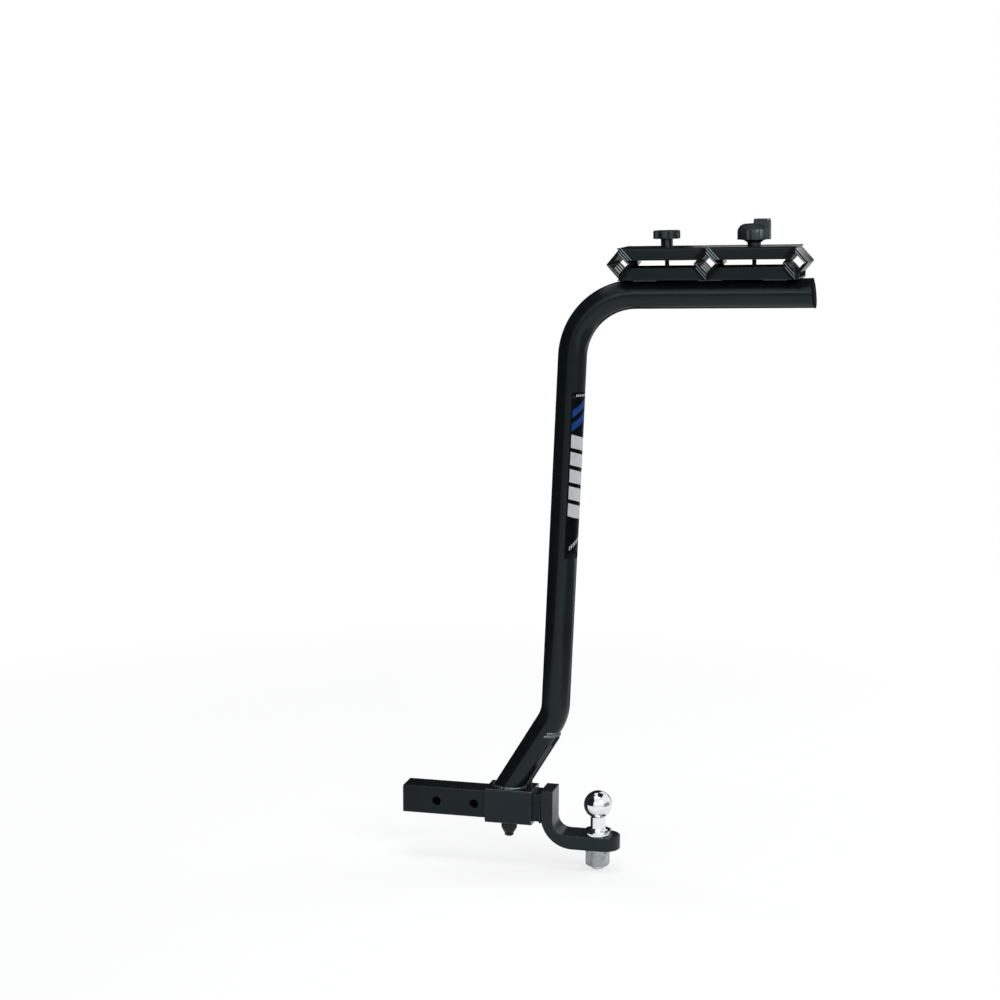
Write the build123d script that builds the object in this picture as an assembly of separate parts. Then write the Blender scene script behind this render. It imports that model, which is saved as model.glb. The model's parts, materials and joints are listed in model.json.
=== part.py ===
from build123d import *
import math
import os

# Hitch bike rack for a two-inch receiver: a drawbar with a tow ball, a sleeve that slides on its
# shank, a bent tube mast with a level arm, and a screw-down cradle that clamps three bicycles.
# Millimetres. X runs rearward from the vehicle, Y to the vehicle's right, Z up.
# The origin is the centre of the hitch-pin hole in the shank.

# Drawbar shank and its pin holes
SHANK = 50.8
SHANK_WALL = 6.35
SHANK_CORNER = 4.0
SHANK_FRONT = -63.5
PIN_HOLE_R = 8.2
SPARE_HOLE_X = 70.0

# Drop forging that carries the ball
FORGING_FRONT = 194.6
FORGING_LEG = 21.8
FORGING_TOP = 33.5
FORGING_WIDTH = 57.0
PLATE_TOP = -45.6
PLATE_THICK = 25.4
PLATE_END = 335.0
DROP_OUTER_R = 58.0
DROP_INNER_R = 23.0
FORGING_EDGE = 2.5
SHANK_WELD = 5.0

# Tow ball, two inches, on a one-inch shank
BALL_R = 25.4
BALL_X = 294.5
BALL_RISE = 54.0
BALL_NECK_R = 13.3
BALL_FLANGE_R = 25.4
BALL_FLANGE = 7.5
BALL_SHANK_R = 12.7
BALL_SHANK_LENGTH = 63.8
BALL_NUT_AF = 38.1
BALL_NUT = 25.4
BALL_LOCK_WASHER = 6.4
BALL_LOCK_WASHER_R = 19.5

# Sleeve on the shank, with its set bolt underneath
SLEEVE = 63.5
SLEEVE_BORE = 51.6
SLEEVE_LENGTH = 86.0
SLEEVE_FRONT = 92.0
SLEEVE_CORNER = 5.5
BOLT_X = 130.0
BOSS_AF = 25.4
BOSS_HEIGHT = 23.0
BOSS_TIP_R = 9.6
BOLT_R = 4.76
BOLT_HEAD_AF = 14.3
BOLT_HEAD = 6.1
BOLT_GAP = 0.4
THREAD_CLEARANCE = 0.1

# Mast tube, two inches across
TUBE_R = 25.4
TUBE_WALL = 3.2
KNEE_R = 76.2
SHOULDER_R = 114.3
FOOT_X = 130.6
LOWER_LEAN = 31.3
KNEE_Z = 170.0
MAST_LEAN = 2.37
ARM_RISE = 1.4
ARM_VERTEX_Z = 921.5
ARM_END_X = 659.5
ARM_CUT_TILT = 5.0
CAP_FLANGE = 2.5
CAP_PLUG = 16.0
FOOT_WELD = 4.5
GUSSET_THICK = 6.0
GUSSET_PROUD = 4.2
GUSSET_TOP_Z = 126.0
GUSSET_RUN_OUT = 8.0
GUSSET_HEEL = 12.0

# Cradle, measured in the arm's own frame: x along the arm, z away from its centreline
CRADLE_X = 482.3
CRADLE_WIDTH = 96.0
PLATE = 3.0
BAR_END = 151.0
LOWER_BAR_REAR = 156.5
OPENING_PITCH = 150.0
LOWER_FLANGE_TOP = 46.6
UPPER_FLANGE_LOW = 59.4
UPPER_BAR_TOP = 80.8
BAR_BEND_R = 3.5
V_ANGLE = 49.0
SADDLE_THICK = 4.5
SADDLE_CROWN = 0.7
SADDLE_GAP = 0.4
SADDLE_LIP = 6.0
SADDLE_LIP_THICK = 1.5
SADDLE_LIP_TOP = 18.0
STUD_X = 75.0
STUD_R = 3.97
STUD_TOP = 104.0
STUD_HEAD_AF = 12.7
STUD_HEAD = 5.3
STUD_HOLE_R = 4.8
WASHER_R = 11.0
WASHER = 1.6
RUNNING_GAP = 0.15

# Front knob
KNOB_HEAD_R = 23.4
KNOB_HEAD = 14.2
KNOB_HUB_R = 10.4
KNOB_HUB = 11.9
KNOB_LOBES = 6
SCALLOP_R = 8.6
SCALLOP_OUT = 3.6
INSERT_R = 6.4
INSERT_LENGTH = 16.0
BORE_DEPTH = 24.5

# Rear locking knob
LOCK_BODY_R = 28.4
LOCK_NECK_R = 11.4
LOCK_NECK = 3.4
LOCK_RIM_LOW = 9.0
LOCK_RIM_HIGH = 22.0
LOCK_DOME = 36.4
LOCK_GROOVE_R = 9.0
LOCK_GROOVE = 1.3
TOWER_LEFT = 0.4
TOWER_RIGHT = 27.6
TOWER_HALF = 13.5
TOWER_TOP = 40.2
DUST_CAP = 3.4
CORE_X = 13.0
CORE_R = 6.5
CORE_LENGTH = 22.0
HINGE_PIN_R = 1.2


def direction(lean):
    """Unit vector in the XZ plane, leaning rearward by an angle from the vertical."""
    return Vector(math.sin(math.radians(lean)), 0, math.cos(math.radians(lean)))


LOWER_DIR = direction(LOWER_LEAN)
MAST_DIR = direction(MAST_LEAN)
ARM_DIR = direction(90 - ARM_RISE)
SLEEVE_TOP = SLEEVE / 2
FOOT = Vector(FOOT_X, 0, SLEEVE_TOP)
KNEE = FOOT + LOWER_DIR * ((KNEE_Z - SLEEVE_TOP) / LOWER_DIR.Z)
ARM_VERTEX = KNEE + MAST_DIR * ((ARM_VERTEX_Z - KNEE_Z) / MAST_DIR.Z)
ARM_END = ARM_VERTEX + ARM_DIR * ((ARM_END_X - ARM_VERTEX.X) / ARM_DIR.X)
CRADLE_ORIGIN = ARM_VERTEX + ARM_DIR * ((CRADLE_X - ARM_VERTEX.X) / ARM_DIR.X)
ARM_FRAME = Location((CRADLE_ORIGIN.X, 0, CRADLE_ORIGIN.Z), (0, -ARM_RISE, 0))


def rounded_bar(side, corner, length, x_low):
    """Square bar along X with rounded long edges."""
    section = Plane.YZ.offset(x_low) * RectangleRounded(side, side, corner)
    return extrude(section, length)


def turned(points, axis_x=0.0):
    """Solid of revolution about a vertical axis from radius and height pairs."""
    outline = Polyline([(r, 0, z) for r, z in points], close=True)
    solid = revolve(make_face(outline), Axis.Z, 360)
    return Pos(axis_x, 0, 0) * solid


def hexagon(across_flats, height):
    """Hexagonal prism standing on the XY plane."""
    return extrude(RegularPolygon(across_flats / 2, 6, major_radius=False), height)


# Drawbar


def shank_tube():
    length = FORGING_FRONT - SHANK_FRONT
    tube = rounded_bar(SHANK, SHANK_CORNER, length, SHANK_FRONT)
    bore = SHANK - 2 * SHANK_WALL
    tube -= rounded_bar(bore, 1.5, length, SHANK_FRONT)
    for x in (0.0, SPARE_HOLE_X):
        tube -= Pos(x, 0, 0) * Rot(90, 0, 0) * Cylinder(PIN_HOLE_R, SHANK * 1.5)
    return tube


def forging_profile():
    """Side outline of the drop: leg, large outer bend, plate, small inner bend."""
    front = FORGING_FRONT
    rear = front + FORGING_LEG
    low = PLATE_TOP - PLATE_THICK
    outer = Vector(front + DROP_OUTER_R, low + DROP_OUTER_R)
    inner = Vector(rear + DROP_INNER_R, PLATE_TOP + DROP_INNER_R)
    diagonal = Vector(-1, -1).normalized()
    edges = [
        Line((front, FORGING_TOP), (front, outer.Y)),
        ThreePointArc((front, outer.Y), outer + diagonal * DROP_OUTER_R, (outer.X, low)),
        Line((outer.X, low), (PLATE_END, low)),
        Line((PLATE_END, low), (PLATE_END, PLATE_TOP)),
        Line((PLATE_END, PLATE_TOP), (inner.X, PLATE_TOP)),
        ThreePointArc((inner.X, PLATE_TOP), inner + diagonal * DROP_INNER_R, (rear, inner.Y)),
        Line((rear, inner.Y), (rear, FORGING_TOP)),
        Line((rear, FORGING_TOP), (front, FORGING_TOP)),
    ]
    return Plane.XZ * make_face(edges)


def drop_forging():
    body = extrude(forging_profile(), FORGING_WIDTH / 2, both=True)
    nose_x = PLATE_END - FORGING_WIDTH / 2
    plan = Pos(nose_x, 0) * Circle(FORGING_WIDTH / 2)
    plan += Pos(nose_x - 100, 0) * Rectangle(200, FORGING_WIDTH)
    body &= Pos(0, 0, -100) * extrude(plan, 200)
    low = PLATE_TOP - PLATE_THICK
    rims = [e for e in body.edges() if abs(e.length) > 20 and is_side_rim(e, low)]
    body = fillet(rims, FORGING_EDGE)
    ball_hole = Pos(BALL_X, 0, PLATE_TOP) * Cylinder(BALL_SHANK_R + 0.25, PLATE_THICK * 3)
    return body - ball_hole


def is_side_rim(edge, low):
    """True for the long rims of the plate and leg, away from the face that is welded to the shank."""
    middle = edge @ 0.5
    side = abs(abs(middle.Y) - FORGING_WIDTH / 2) < 0.5 or middle.X > PLATE_END - FORGING_WIDTH / 2 - 1
    level = abs(middle.Z - low) < 0.5 or abs(middle.Z - PLATE_TOP) < 0.5 or middle.X < 262
    welded = abs(middle.X - FORGING_FRONT) < 0.5
    across = edge.length < FORGING_WIDTH + 1 and abs(middle.Y) < 0.5 and middle.X < 250
    return side and level and not welded and not across


def shank_weld():
    """Fillet weld round the shank where it meets the forging."""
    start = FORGING_FRONT - SHANK_WELD
    narrow = Plane.YZ.offset(start) * RectangleRounded(SHANK + 0.8, SHANK + 0.8, SHANK_CORNER)
    wide = SHANK + 2 * SHANK_WELD * 0.55
    flared = Plane.YZ.offset(FORGING_FRONT) * RectangleRounded(wide, wide, SHANK_CORNER + 1)
    bead = loft([narrow, flared], ruled=True)
    return bead - rounded_bar(SHANK, SHANK_CORNER, SHANK_WELD * 3, start - SHANK_WELD)


def tow_ball():
    centre = PLATE_TOP + BALL_RISE
    flange_top = PLATE_TOP + BALL_FLANGE
    cut_angle = math.asin(BALL_NECK_R / BALL_R)
    neck_z = centre - BALL_R * math.cos(cut_angle)
    flat_r = 6.0
    flat_z = centre + math.sqrt(BALL_R ** 2 - flat_r ** 2)
    low = PLATE_TOP - BALL_SHANK_LENGTH
    outline = [
        Line((0, flat_z), (flat_r, flat_z)),
        ThreePointArc((flat_r, flat_z), (BALL_R, centre), (BALL_NECK_R, neck_z)),
        Line((BALL_NECK_R, neck_z), (BALL_NECK_R, flange_top + 5)),
        ThreePointArc(
            (BALL_NECK_R, flange_top + 5),
            (BALL_NECK_R + 1.5, flange_top + 1.5),
            (BALL_NECK_R + 5, flange_top),
        ),
        Line((BALL_NECK_R + 5, flange_top), (BALL_FLANGE_R - 1.2, flange_top)),
        Line((BALL_FLANGE_R - 1.2, flange_top), (BALL_FLANGE_R, flange_top - 1.2)),
        Line((BALL_FLANGE_R, flange_top - 1.2), (BALL_FLANGE_R, PLATE_TOP)),
        Line((BALL_FLANGE_R, PLATE_TOP), (BALL_SHANK_R, PLATE_TOP)),
        Line((BALL_SHANK_R, PLATE_TOP), (BALL_SHANK_R, low + 1.5)),
        Line((BALL_SHANK_R, low + 1.5), (BALL_SHANK_R - 1.5, low)),
        Line((BALL_SHANK_R - 1.5, low), (0, low)),
        Line((0, low), (0, flat_z)),
    ]
    ball = revolve(Plane.XZ * make_face(outline), Axis.Z, 360)
    flats = Pos(0, 0, PLATE_TOP + BALL_FLANGE / 2) * Box(80, 80, BALL_FLANGE)
    flats -= Pos(0, 0, PLATE_TOP + BALL_FLANGE / 2) * Box(2 * BALL_FLANGE_R - 5, 81, BALL_FLANGE + 1)
    return Pos(BALL_X, 0, 0) * (ball - flats)


def ball_lock_washer():
    """Split spring washer with its slanted cut."""
    top = PLATE_TOP - PLATE_THICK
    ring = Cylinder(BALL_LOCK_WASHER_R, BALL_LOCK_WASHER) - Cylinder(BALL_SHANK_R + 0.3, 10)
    cut = Pos(16, 0, 0) * Rot(25, 0, 0) * Box(16, 1.6, 16)
    return Pos(BALL_X, 0, top - BALL_LOCK_WASHER / 2) * (ring - cut)


def ball_nut():
    top = PLATE_TOP - PLATE_THICK - BALL_LOCK_WASHER
    corner = BALL_NUT_AF / math.sqrt(3)
    nut = hexagon(BALL_NUT_AF, BALL_NUT)
    crown = [(0, 0), (corner - 2.6, 0), (corner, 1.5), (corner, BALL_NUT), (0, BALL_NUT)]
    nut &= turned(crown)
    nut -= Cylinder(BALL_SHANK_R, BALL_NUT * 3)
    return Pos(BALL_X, 0, top - BALL_NUT) * Rot(0, 0, 22) * nut


# Sleeve, set bolt and mast


def mast_sleeve():
    sleeve = rounded_bar(SLEEVE, SLEEVE_CORNER, SLEEVE_LENGTH, SLEEVE_FRONT)
    sleeve -= rounded_bar(SLEEVE_BORE, 3.0, SLEEVE_LENGTH, SLEEVE_FRONT)
    sleeve -= Pos(BOLT_X, 0, -SLEEVE / 2) * Cylinder(BOLT_R + 0.6, 30)
    return sleeve


def set_bolt_boss():
    corner = BOSS_AF / math.sqrt(3)
    boss = hexagon(BOSS_AF, BOSS_HEIGHT)
    taper = BOSS_HEIGHT - 14.0
    boss &= turned([(0, 0), (BOSS_TIP_R, 0), (corner, taper), (corner, BOSS_HEIGHT), (0, BOSS_HEIGHT)])
    boss -= Cylinder(BOLT_R + THREAD_CLEARANCE, BOSS_HEIGHT * 3)
    return Pos(BOLT_X, 0, -SLEEVE / 2 - BOSS_HEIGHT) * boss


def set_bolt():
    tip = -SHANK / 2 - BOLT_GAP
    seat = -SLEEVE / 2 - BOSS_HEIGHT - BOLT_GAP
    shaft = Pos(BOLT_X, 0, (tip + seat) / 2) * Cylinder(BOLT_R, tip - seat)
    shaft = chamfer(shaft.edges().group_by(Axis.Z)[-1], 0.9)
    head = hexagon(BOLT_HEAD_AF, BOLT_HEAD)
    corner = BOLT_HEAD_AF / math.sqrt(3)
    head &= turned([(0, 0), (corner - 1.2, 0), (corner, 0.7), (corner, BOLT_HEAD), (0, BOLT_HEAD)])
    return shaft + Pos(BOLT_X, 0, seat - BOLT_HEAD) * head


def bend_at(vertex, into, out, radius):
    """Tangent points and middle point of a bend of the tube's centreline."""
    turn = math.acos(into.dot(out))
    reach = radius * math.tan(turn / 2)
    start = vertex - into * reach
    end = vertex + out * reach
    inward = (out - into).normalized()
    middle = vertex + inward * (radius / math.cos(turn / 2) - radius)
    return start, middle, end


def mast_path():
    low = FOOT - LOWER_DIR * 40
    far = ARM_END + ARM_DIR * 20
    knee = bend_at(KNEE, LOWER_DIR, MAST_DIR, KNEE_R)
    shoulder = bend_at(ARM_VERTEX, MAST_DIR, ARM_DIR, SHOULDER_R)
    edges = [
        Line(low, knee[0]),
        ThreePointArc(*knee),
        Line(knee[2], shoulder[0]),
        ThreePointArc(*shoulder),
        Line(shoulder[2], far),
    ]
    return low, Wire(edges)


def tube_along_mast(radius):
    low, path = mast_path()
    section = Plane(origin=low, z_dir=LOWER_DIR) * Circle(radius)
    return sweep(section, path=path)


def arm_cut_plane(offset=0.0):
    """Plane of the saw cut at the arm's end, longer below than above."""
    normal = direction(90 - ARM_RISE - ARM_CUT_TILT)
    return Plane(origin=ARM_END + normal * offset, z_dir=normal)


def mast_tube():
    tube = tube_along_mast(TUBE_R) - tube_along_mast(TUBE_R - TUBE_WALL)
    tube = split(tube, Plane.XY.offset(SLEEVE_TOP), keep=Keep.TOP)
    return split(tube, arm_cut_plane(-CAP_FLANGE), keep=Keep.BOTTOM)


def arm_end_cap():
    inside = Plane(origin=ARM_END - ARM_DIR * CAP_PLUG, z_dir=ARM_DIR)
    plug = extrude(inside * Circle(TUBE_R - TUBE_WALL - 0.05), CAP_PLUG + 8)
    plug -= extrude(inside * Circle(TUBE_R - TUBE_WALL - 2.5), CAP_PLUG - 4)
    plug = split(plug, arm_cut_plane(-CAP_FLANGE), keep=Keep.BOTTOM)
    flange = extrude(arm_cut_plane(-CAP_FLANGE) * Circle(TUBE_R + 0.6), CAP_FLANGE)
    flange = fillet(flange.faces().sort_by(Axis.X)[-1].edges(), 1.0)
    return plug + flange


def gusset_plate():
    """Slim rib behind the lower leg, standing on the sleeve."""
    back = Vector(LOWER_DIR.Z, 0, -LOWER_DIR.X)
    foot = FOOT + back * (TUBE_R + GUSSET_PROUD)
    low = foot + LOWER_DIR * ((SLEEVE_TOP + GUSSET_HEEL - foot.Z) / LOWER_DIR.Z)
    high = foot + LOWER_DIR * ((GUSSET_TOP_Z - foot.Z) / LOWER_DIR.Z)
    shoulder = high - back * GUSSET_PROUD + LOWER_DIR * GUSSET_RUN_OUT
    outline = Polyline(
        [
            (FOOT.X, 0, SLEEVE_TOP),
            (low.X, 0, SLEEVE_TOP),
            low,
            high,
            shoulder,
            shoulder - back * 20,
        ],
        close=True,
    )
    return extrude(make_face(outline), GUSSET_THICK / 2, both=True)


def mast_gusset():
    return gusset_plate() - tube_along_mast(TUBE_R)


def foot_weld():
    """Fillet weld round the mast's foot on top of the sleeve."""
    stretch = 1 / LOWER_DIR.Z
    low = Pos(FOOT.X, 0, SLEEVE_TOP) * Ellipse(TUBE_R * stretch + FOOT_WELD, TUBE_R + FOOT_WELD)
    rise = FOOT_WELD
    shift = rise * LOWER_DIR.X / LOWER_DIR.Z
    top = Pos(FOOT.X + shift, 0, SLEEVE_TOP + rise) * Ellipse(TUBE_R * stretch + 0.5, TUBE_R + 0.5)
    bead = loft([low, top], ruled=True)
    return bead - tube_along_mast(TUBE_R) - gusset_plate()


# Cradle, in the arm's frame until it is placed


def notch(centre_x, apex_z, upward):
    """V-shaped cut across a bar, from its apex at the plate to beyond its flanges."""
    height = 40.0
    half = height / math.tan(math.radians(V_ANGLE))
    sign = 1 if upward else -1
    outline = Polyline(
        [
            (centre_x, 0, apex_z),
            (centre_x + half, 0, apex_z + sign * height),
            (centre_x - half, 0, apex_z + sign * height),
        ],
        close=True,
    )
    return extrude(make_face(outline), CRADLE_WIDTH, both=True)


def clamp_bar(low, high, plate_low, rear):
    """Pressed channel with its plate outside and V notches in both flanges."""
    height = high - low
    bar = Pos((rear - BAR_END) / 2, 0, (low + high) / 2) * Box(rear + BAR_END, CRADLE_WIDTH, height)
    outer_z = low if plate_low else high
    bends = [e for e in bar.edges().filter_by(Axis.X) if abs((e @ 0.5).Z - outer_z) < 0.1]
    bar = fillet(bends, BAR_BEND_R)
    hollow_z = (low + high) / 2 + (PLATE if plate_low else -PLATE)
    bar -= Pos(0, 0, hollow_z) * Box(4 * BAR_END, CRADLE_WIDTH - 2 * PLATE, height)
    apex_z = low + PLATE if plate_low else high - PLATE
    for x in (-OPENING_PITCH, 0.0, OPENING_PITCH):
        bar -= notch(x, apex_z, upward=plate_low)
    return bar


def lower_clamp_bar():
    return ARM_FRAME * clamp_bar(TUBE_R, LOWER_FLANGE_TOP, True, LOWER_BAR_REAR)


def upper_clamp_bar():
    bar = clamp_bar(UPPER_FLANGE_LOW, UPPER_BAR_TOP, False, BAR_END)
    for x in (-STUD_X, STUD_X):
        bar -= Pos(x, 0, UPPER_BAR_TOP) * Cylinder(STUD_HOLE_R, 20)
    return ARM_FRAME * bar


SADDLE_DEPTH = (UPPER_BAR_TOP - TUBE_R - 2 * PLATE - SADDLE_GAP) / 2


def saddle_leg(side):
    """Profile of one leg of the V, with a gently crowned inner face."""
    slope = math.radians(V_ANGLE)
    tip_outer = (side * SADDLE_DEPTH / math.tan(slope), SADDLE_DEPTH)
    thick_level = SADDLE_THICK / math.sin(slope)
    tip_inner = (tip_outer[0] - side * thick_level, SADDLE_DEPTH)
    root_inner = (0.0, SADDLE_THICK / math.cos(slope))
    crown = Vector(-side * math.sin(slope), math.cos(slope)) * SADDLE_CROWN
    middle = Vector((tip_inner[0] + root_inner[0]) / 2, (tip_inner[1] + root_inner[1]) / 2) + crown
    return make_face([
        Line((0, 0), tip_outer),
        Line(tip_outer, tip_inner),
        ThreePointArc(tip_inner, middle, root_inner),
        Line(root_inner, (0, 0)),
    ])


def lip_band(side):
    """Half of the lip that laps the outside of a flange beside the notch."""
    slope = math.radians(V_ANGLE)
    reach = SADDLE_LIP / math.sin(slope)
    top_x = SADDLE_LIP_TOP / math.tan(slope)
    base_x = reach - PLATE / math.tan(slope)
    points = [
        (0, 0),
        (side * top_x, SADDLE_LIP_TOP),
        (side * (top_x + reach), SADDLE_LIP_TOP),
        (side * base_x, -PLATE),
        (0, -PLATE),
    ]
    return make_face(Polyline(points, close=True))


def saddle(lip_front, lip_rear):
    """Moulded V saddle lying in a bar's notches, apex down at the origin."""
    legs = saddle_leg(1) + saddle_leg(-1)
    length = CRADLE_WIDTH + 2 * SADDLE_LIP_THICK
    body = extrude(Plane.XZ * legs, length / 2, both=True)
    lips = []
    if lip_front:
        lips.append(lip_band(-1))
    if lip_rear:
        lips.append(lip_band(1))
    for band in lips:
        for y in (-CRADLE_WIDTH / 2, CRADLE_WIDTH / 2 + SADDLE_LIP_THICK):
            body += extrude(Plane.XZ.offset(-y) * band, SADDLE_LIP_THICK)
    return body


def lower_saddle(x, lip_front, lip_rear):
    return ARM_FRAME * Pos(x, 0, TUBE_R + PLATE) * saddle(lip_front, lip_rear)


def upper_saddle(x, lip_front, lip_rear):
    flipped = Rot(0, 180, 0) * saddle(lip_rear, lip_front)
    return ARM_FRAME * Pos(x, 0, UPPER_BAR_TOP - PLATE) * flipped


def cradle_welds():
    """Stitch welds in the grooves between the arm and the lower bar."""
    beads = []
    for x in (-112.0, 0.0, 112.0):
        for side in (-1, 1):
            outline = Polyline(
                [
                    (x, side * 7.0, TUBE_R),
                    (x, side * 14.0, TUBE_R),
                    (x, side * 13.2, TUBE_R - 3.6),
                    (x, side * 7.0, TUBE_R - 2.5),
                ],
                close=True,
            )
            wedge = extrude(make_face(outline), 20.0, both=True)
            arm = Rot(0, 90, 0) * Cylinder(TUBE_R, 4 * BAR_END)
            beads.append(wedge - arm)
    return ARM_FRAME * Compound(children=[bead.solid() for bead in beads])


def stud(x):
    """Bolt whose head is welded to the lower bar's plate."""
    seat = TUBE_R + PLATE
    head = Pos(0, 0, seat) * hexagon(STUD_HEAD_AF, STUD_HEAD)
    shaft = Pos(0, 0, (seat + STUD_TOP) / 2) * Cylinder(STUD_R, STUD_TOP - seat)
    shaft = chamfer(shaft.edges().group_by(Axis.Z)[-1], 0.8)
    return ARM_FRAME * Pos(x, 0, 0) * (head + shaft)


def flat_washer(x):
    ring = Cylinder(WASHER_R, WASHER) - Cylinder(STUD_HOLE_R, WASHER * 3)
    return ARM_FRAME * Pos(x, 0, UPPER_BAR_TOP + WASHER / 2) * ring


KNOB_BASE = UPPER_BAR_TOP + WASHER + RUNNING_GAP


def knob_insert(x):
    """Threaded brass bush moulded into a knob."""
    bush = Cylinder(INSERT_R, INSERT_LENGTH) - Cylinder(STUD_R + THREAD_CLEARANCE, INSERT_LENGTH * 2)
    return ARM_FRAME * Pos(x, 0, KNOB_BASE + INSERT_LENGTH / 2) * bush


def knob_bore():
    """Space inside a knob for its bush and the end of the stud."""
    bush = Pos(0, 0, INSERT_LENGTH / 2) * Cylinder(INSERT_R, INSERT_LENGTH)
    return bush + Pos(0, 0, BORE_DEPTH / 2) * Cylinder(STUD_R + 0.4, BORE_DEPTH)


def front_knob():
    """Lobed hand knob with ribs up its hub."""
    top = KNOB_HUB + KNOB_HEAD
    head = Pos(0, 0, KNOB_HUB + KNOB_HEAD / 2) * Cylinder(KNOB_HEAD_R, KNOB_HEAD)
    head = fillet(head.edges().group_by(Axis.Z)[-1], 3.0)
    head = chamfer(head.edges().group_by(Axis.Z)[0], 1.2)
    for i in range(KNOB_LOBES):
        turn = Rot(0, 0, i * 360 / KNOB_LOBES)
        scallop = Cylinder(SCALLOP_R, KNOB_HEAD + 1)
        head -= turn * Pos(KNOB_HEAD_R + SCALLOP_OUT, 0, top - KNOB_HEAD / 2) * scallop
    head -= Pos(0, 0, top) * Cylinder(9.0, 2.4)
    hub = Pos(0, 0, KNOB_HUB / 2) * Cylinder(KNOB_HUB_R - 1.6, KNOB_HUB)
    for i in range(KNOB_LOBES):
        turn = Rot(0, 0, (i + 0.5) * 360 / KNOB_LOBES)
        hub += turn * Pos(KNOB_HUB_R - 2.5, 0, KNOB_HUB / 2) * Box(5.0, 3.0, KNOB_HUB)
    knob = head + hub - knob_bore()
    return ARM_FRAME * Pos(-STUD_X, 0, KNOB_BASE) * knob


def tower_block(inset, low, high):
    """Square housing on the side of the locking knob."""
    width = TOWER_RIGHT - TOWER_LEFT - 2 * inset
    depth = 2 * TOWER_HALF - 2 * inset
    section = Pos((TOWER_LEFT + TOWER_RIGHT) / 2, 0, low) * RectangleRounded(width, depth, 3.5 - inset)
    return extrude(section, high - low)


def rear_lock_knob():
    """Domed hand knob with finger grooves and a square housing for its lock."""
    outline = [
        Line((0, 0), (LOCK_NECK_R, 0)),
        Line((LOCK_NECK_R, 0), (LOCK_NECK_R, LOCK_NECK)),
        ThreePointArc(
            (LOCK_NECK_R, LOCK_NECK),
            (LOCK_NECK_R + 4.0, LOCK_RIM_LOW - 2.6),
            (LOCK_BODY_R, LOCK_RIM_LOW),
        ),
        Line((LOCK_BODY_R, LOCK_RIM_LOW), (LOCK_BODY_R, LOCK_RIM_HIGH)),
        ThreePointArc(
            (LOCK_BODY_R, LOCK_RIM_HIGH),
            (LOCK_BODY_R - 3.9, LOCK_RIM_HIGH + 8.9),
            (LOCK_BODY_R - 13.0, LOCK_DOME - 0.9),
        ),
        Line((LOCK_BODY_R - 13.0, LOCK_DOME - 0.9), (0, LOCK_DOME)),
        Line((0, LOCK_DOME), (0, 0)),
    ]
    body = revolve(Plane.XZ * make_face(outline), Axis.Z, 360)
    for angle in (60, 100, 140, 180, 220, 260, 300):
        out = LOCK_BODY_R + LOCK_GROOVE_R - LOCK_GROOVE
        body -= Rot(0, 0, angle) * Pos(out, 0, LOCK_RIM_HIGH / 2) * Cylinder(LOCK_GROOVE_R, 60)
    body += tower_block(0.0, LOCK_RIM_LOW, TOWER_TOP)
    core_low = TOWER_TOP - 1.0 - CORE_LENGTH
    body -= Pos(CORE_X, 0, core_low + 15) * Cylinder(CORE_R + 0.1, 30)
    body = body - hinge_slot() + hinge_ears()
    body -= Pos(HINGE_X, 0, HINGE_Z) * Rot(90, 0, 0) * Cylinder(HINGE_PIN_R, 4 * HINGE_HALF)
    knob = body - knob_bore()
    return ARM_FRAME * Pos(STUD_X, 0, KNOB_BASE) * knob


HINGE_X = TOWER_RIGHT - 3.0
HINGE_Z = TOWER_TOP + DUST_CAP / 2
HINGE_HALF = 7.0


def hinge_slot():
    """Clears the tower's top corner for the dust cap's knuckle."""
    return Pos(HINGE_X, 0, HINGE_Z) * Rot(90, 0, 0) * Cylinder(2.4, 2 * HINGE_HALF + 0.6)


def hinge_ears():
    """Two ears on the tower that hold the cap's pin."""
    ears = Part()
    for side in (-1, 1):
        y = side * (HINGE_HALF + 2.0)
        ear = Pos(HINGE_X, y, HINGE_Z - 0.6) * Box(4.4, 3.0, DUST_CAP + 1.2)
        ears += fillet(ear.edges().filter_by(Axis.Y).group_by(Axis.Z)[-1], 1.4)
    return ears


def dust_cap():
    """Hinged lid over the lock, with its knuckle between the tower's ears."""
    low = TOWER_TOP + 0.3
    high = TOWER_TOP + DUST_CAP
    left = TOWER_LEFT + 0.5
    right = HINGE_X - 3.0
    section = Pos((left + right) / 2, 0, low) * RectangleRounded(right - left, 2 * TOWER_HALF, 3.0)
    lid = extrude(section, high - low)
    lid = fillet(lid.faces().sort_by(Axis.Z)[-1].edges(), 0.9)
    arm = Pos(HINGE_X - 2.5, 0, HINGE_Z + 0.1) * Box(5.0, 2 * HINGE_HALF, DUST_CAP - 0.7)
    lid += arm
    lid += Pos(HINGE_X, 0, HINGE_Z) * Rot(90, 0, 0) * Cylinder(2.0, 2 * HINGE_HALF)
    lid -= Pos(HINGE_X, 0, HINGE_Z) * Rot(90, 0, 0) * Cylinder(HINGE_PIN_R + 0.08, 4 * HINGE_HALF)
    return ARM_FRAME * Pos(STUD_X, 0, KNOB_BASE) * lid


def dust_cap_pin():
    length = 2 * (HINGE_HALF + 3.5)
    pin = Pos(HINGE_X, 0, HINGE_Z) * Rot(90, 0, 0) * Cylinder(HINGE_PIN_R, length)
    return ARM_FRAME * Pos(STUD_X, 0, KNOB_BASE) * pin


def lock_core():
    """Key cylinder with its slot, turning inside the tower."""
    top = TOWER_TOP - 0.8
    core = Pos(CORE_X, 0, top - CORE_LENGTH / 2) * Cylinder(CORE_R, CORE_LENGTH)
    core -= Pos(CORE_X, 0, top) * Box(7.0, 1.8, 8.0)
    return ARM_FRAME * Pos(STUD_X, 0, KNOB_BASE) * core


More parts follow.
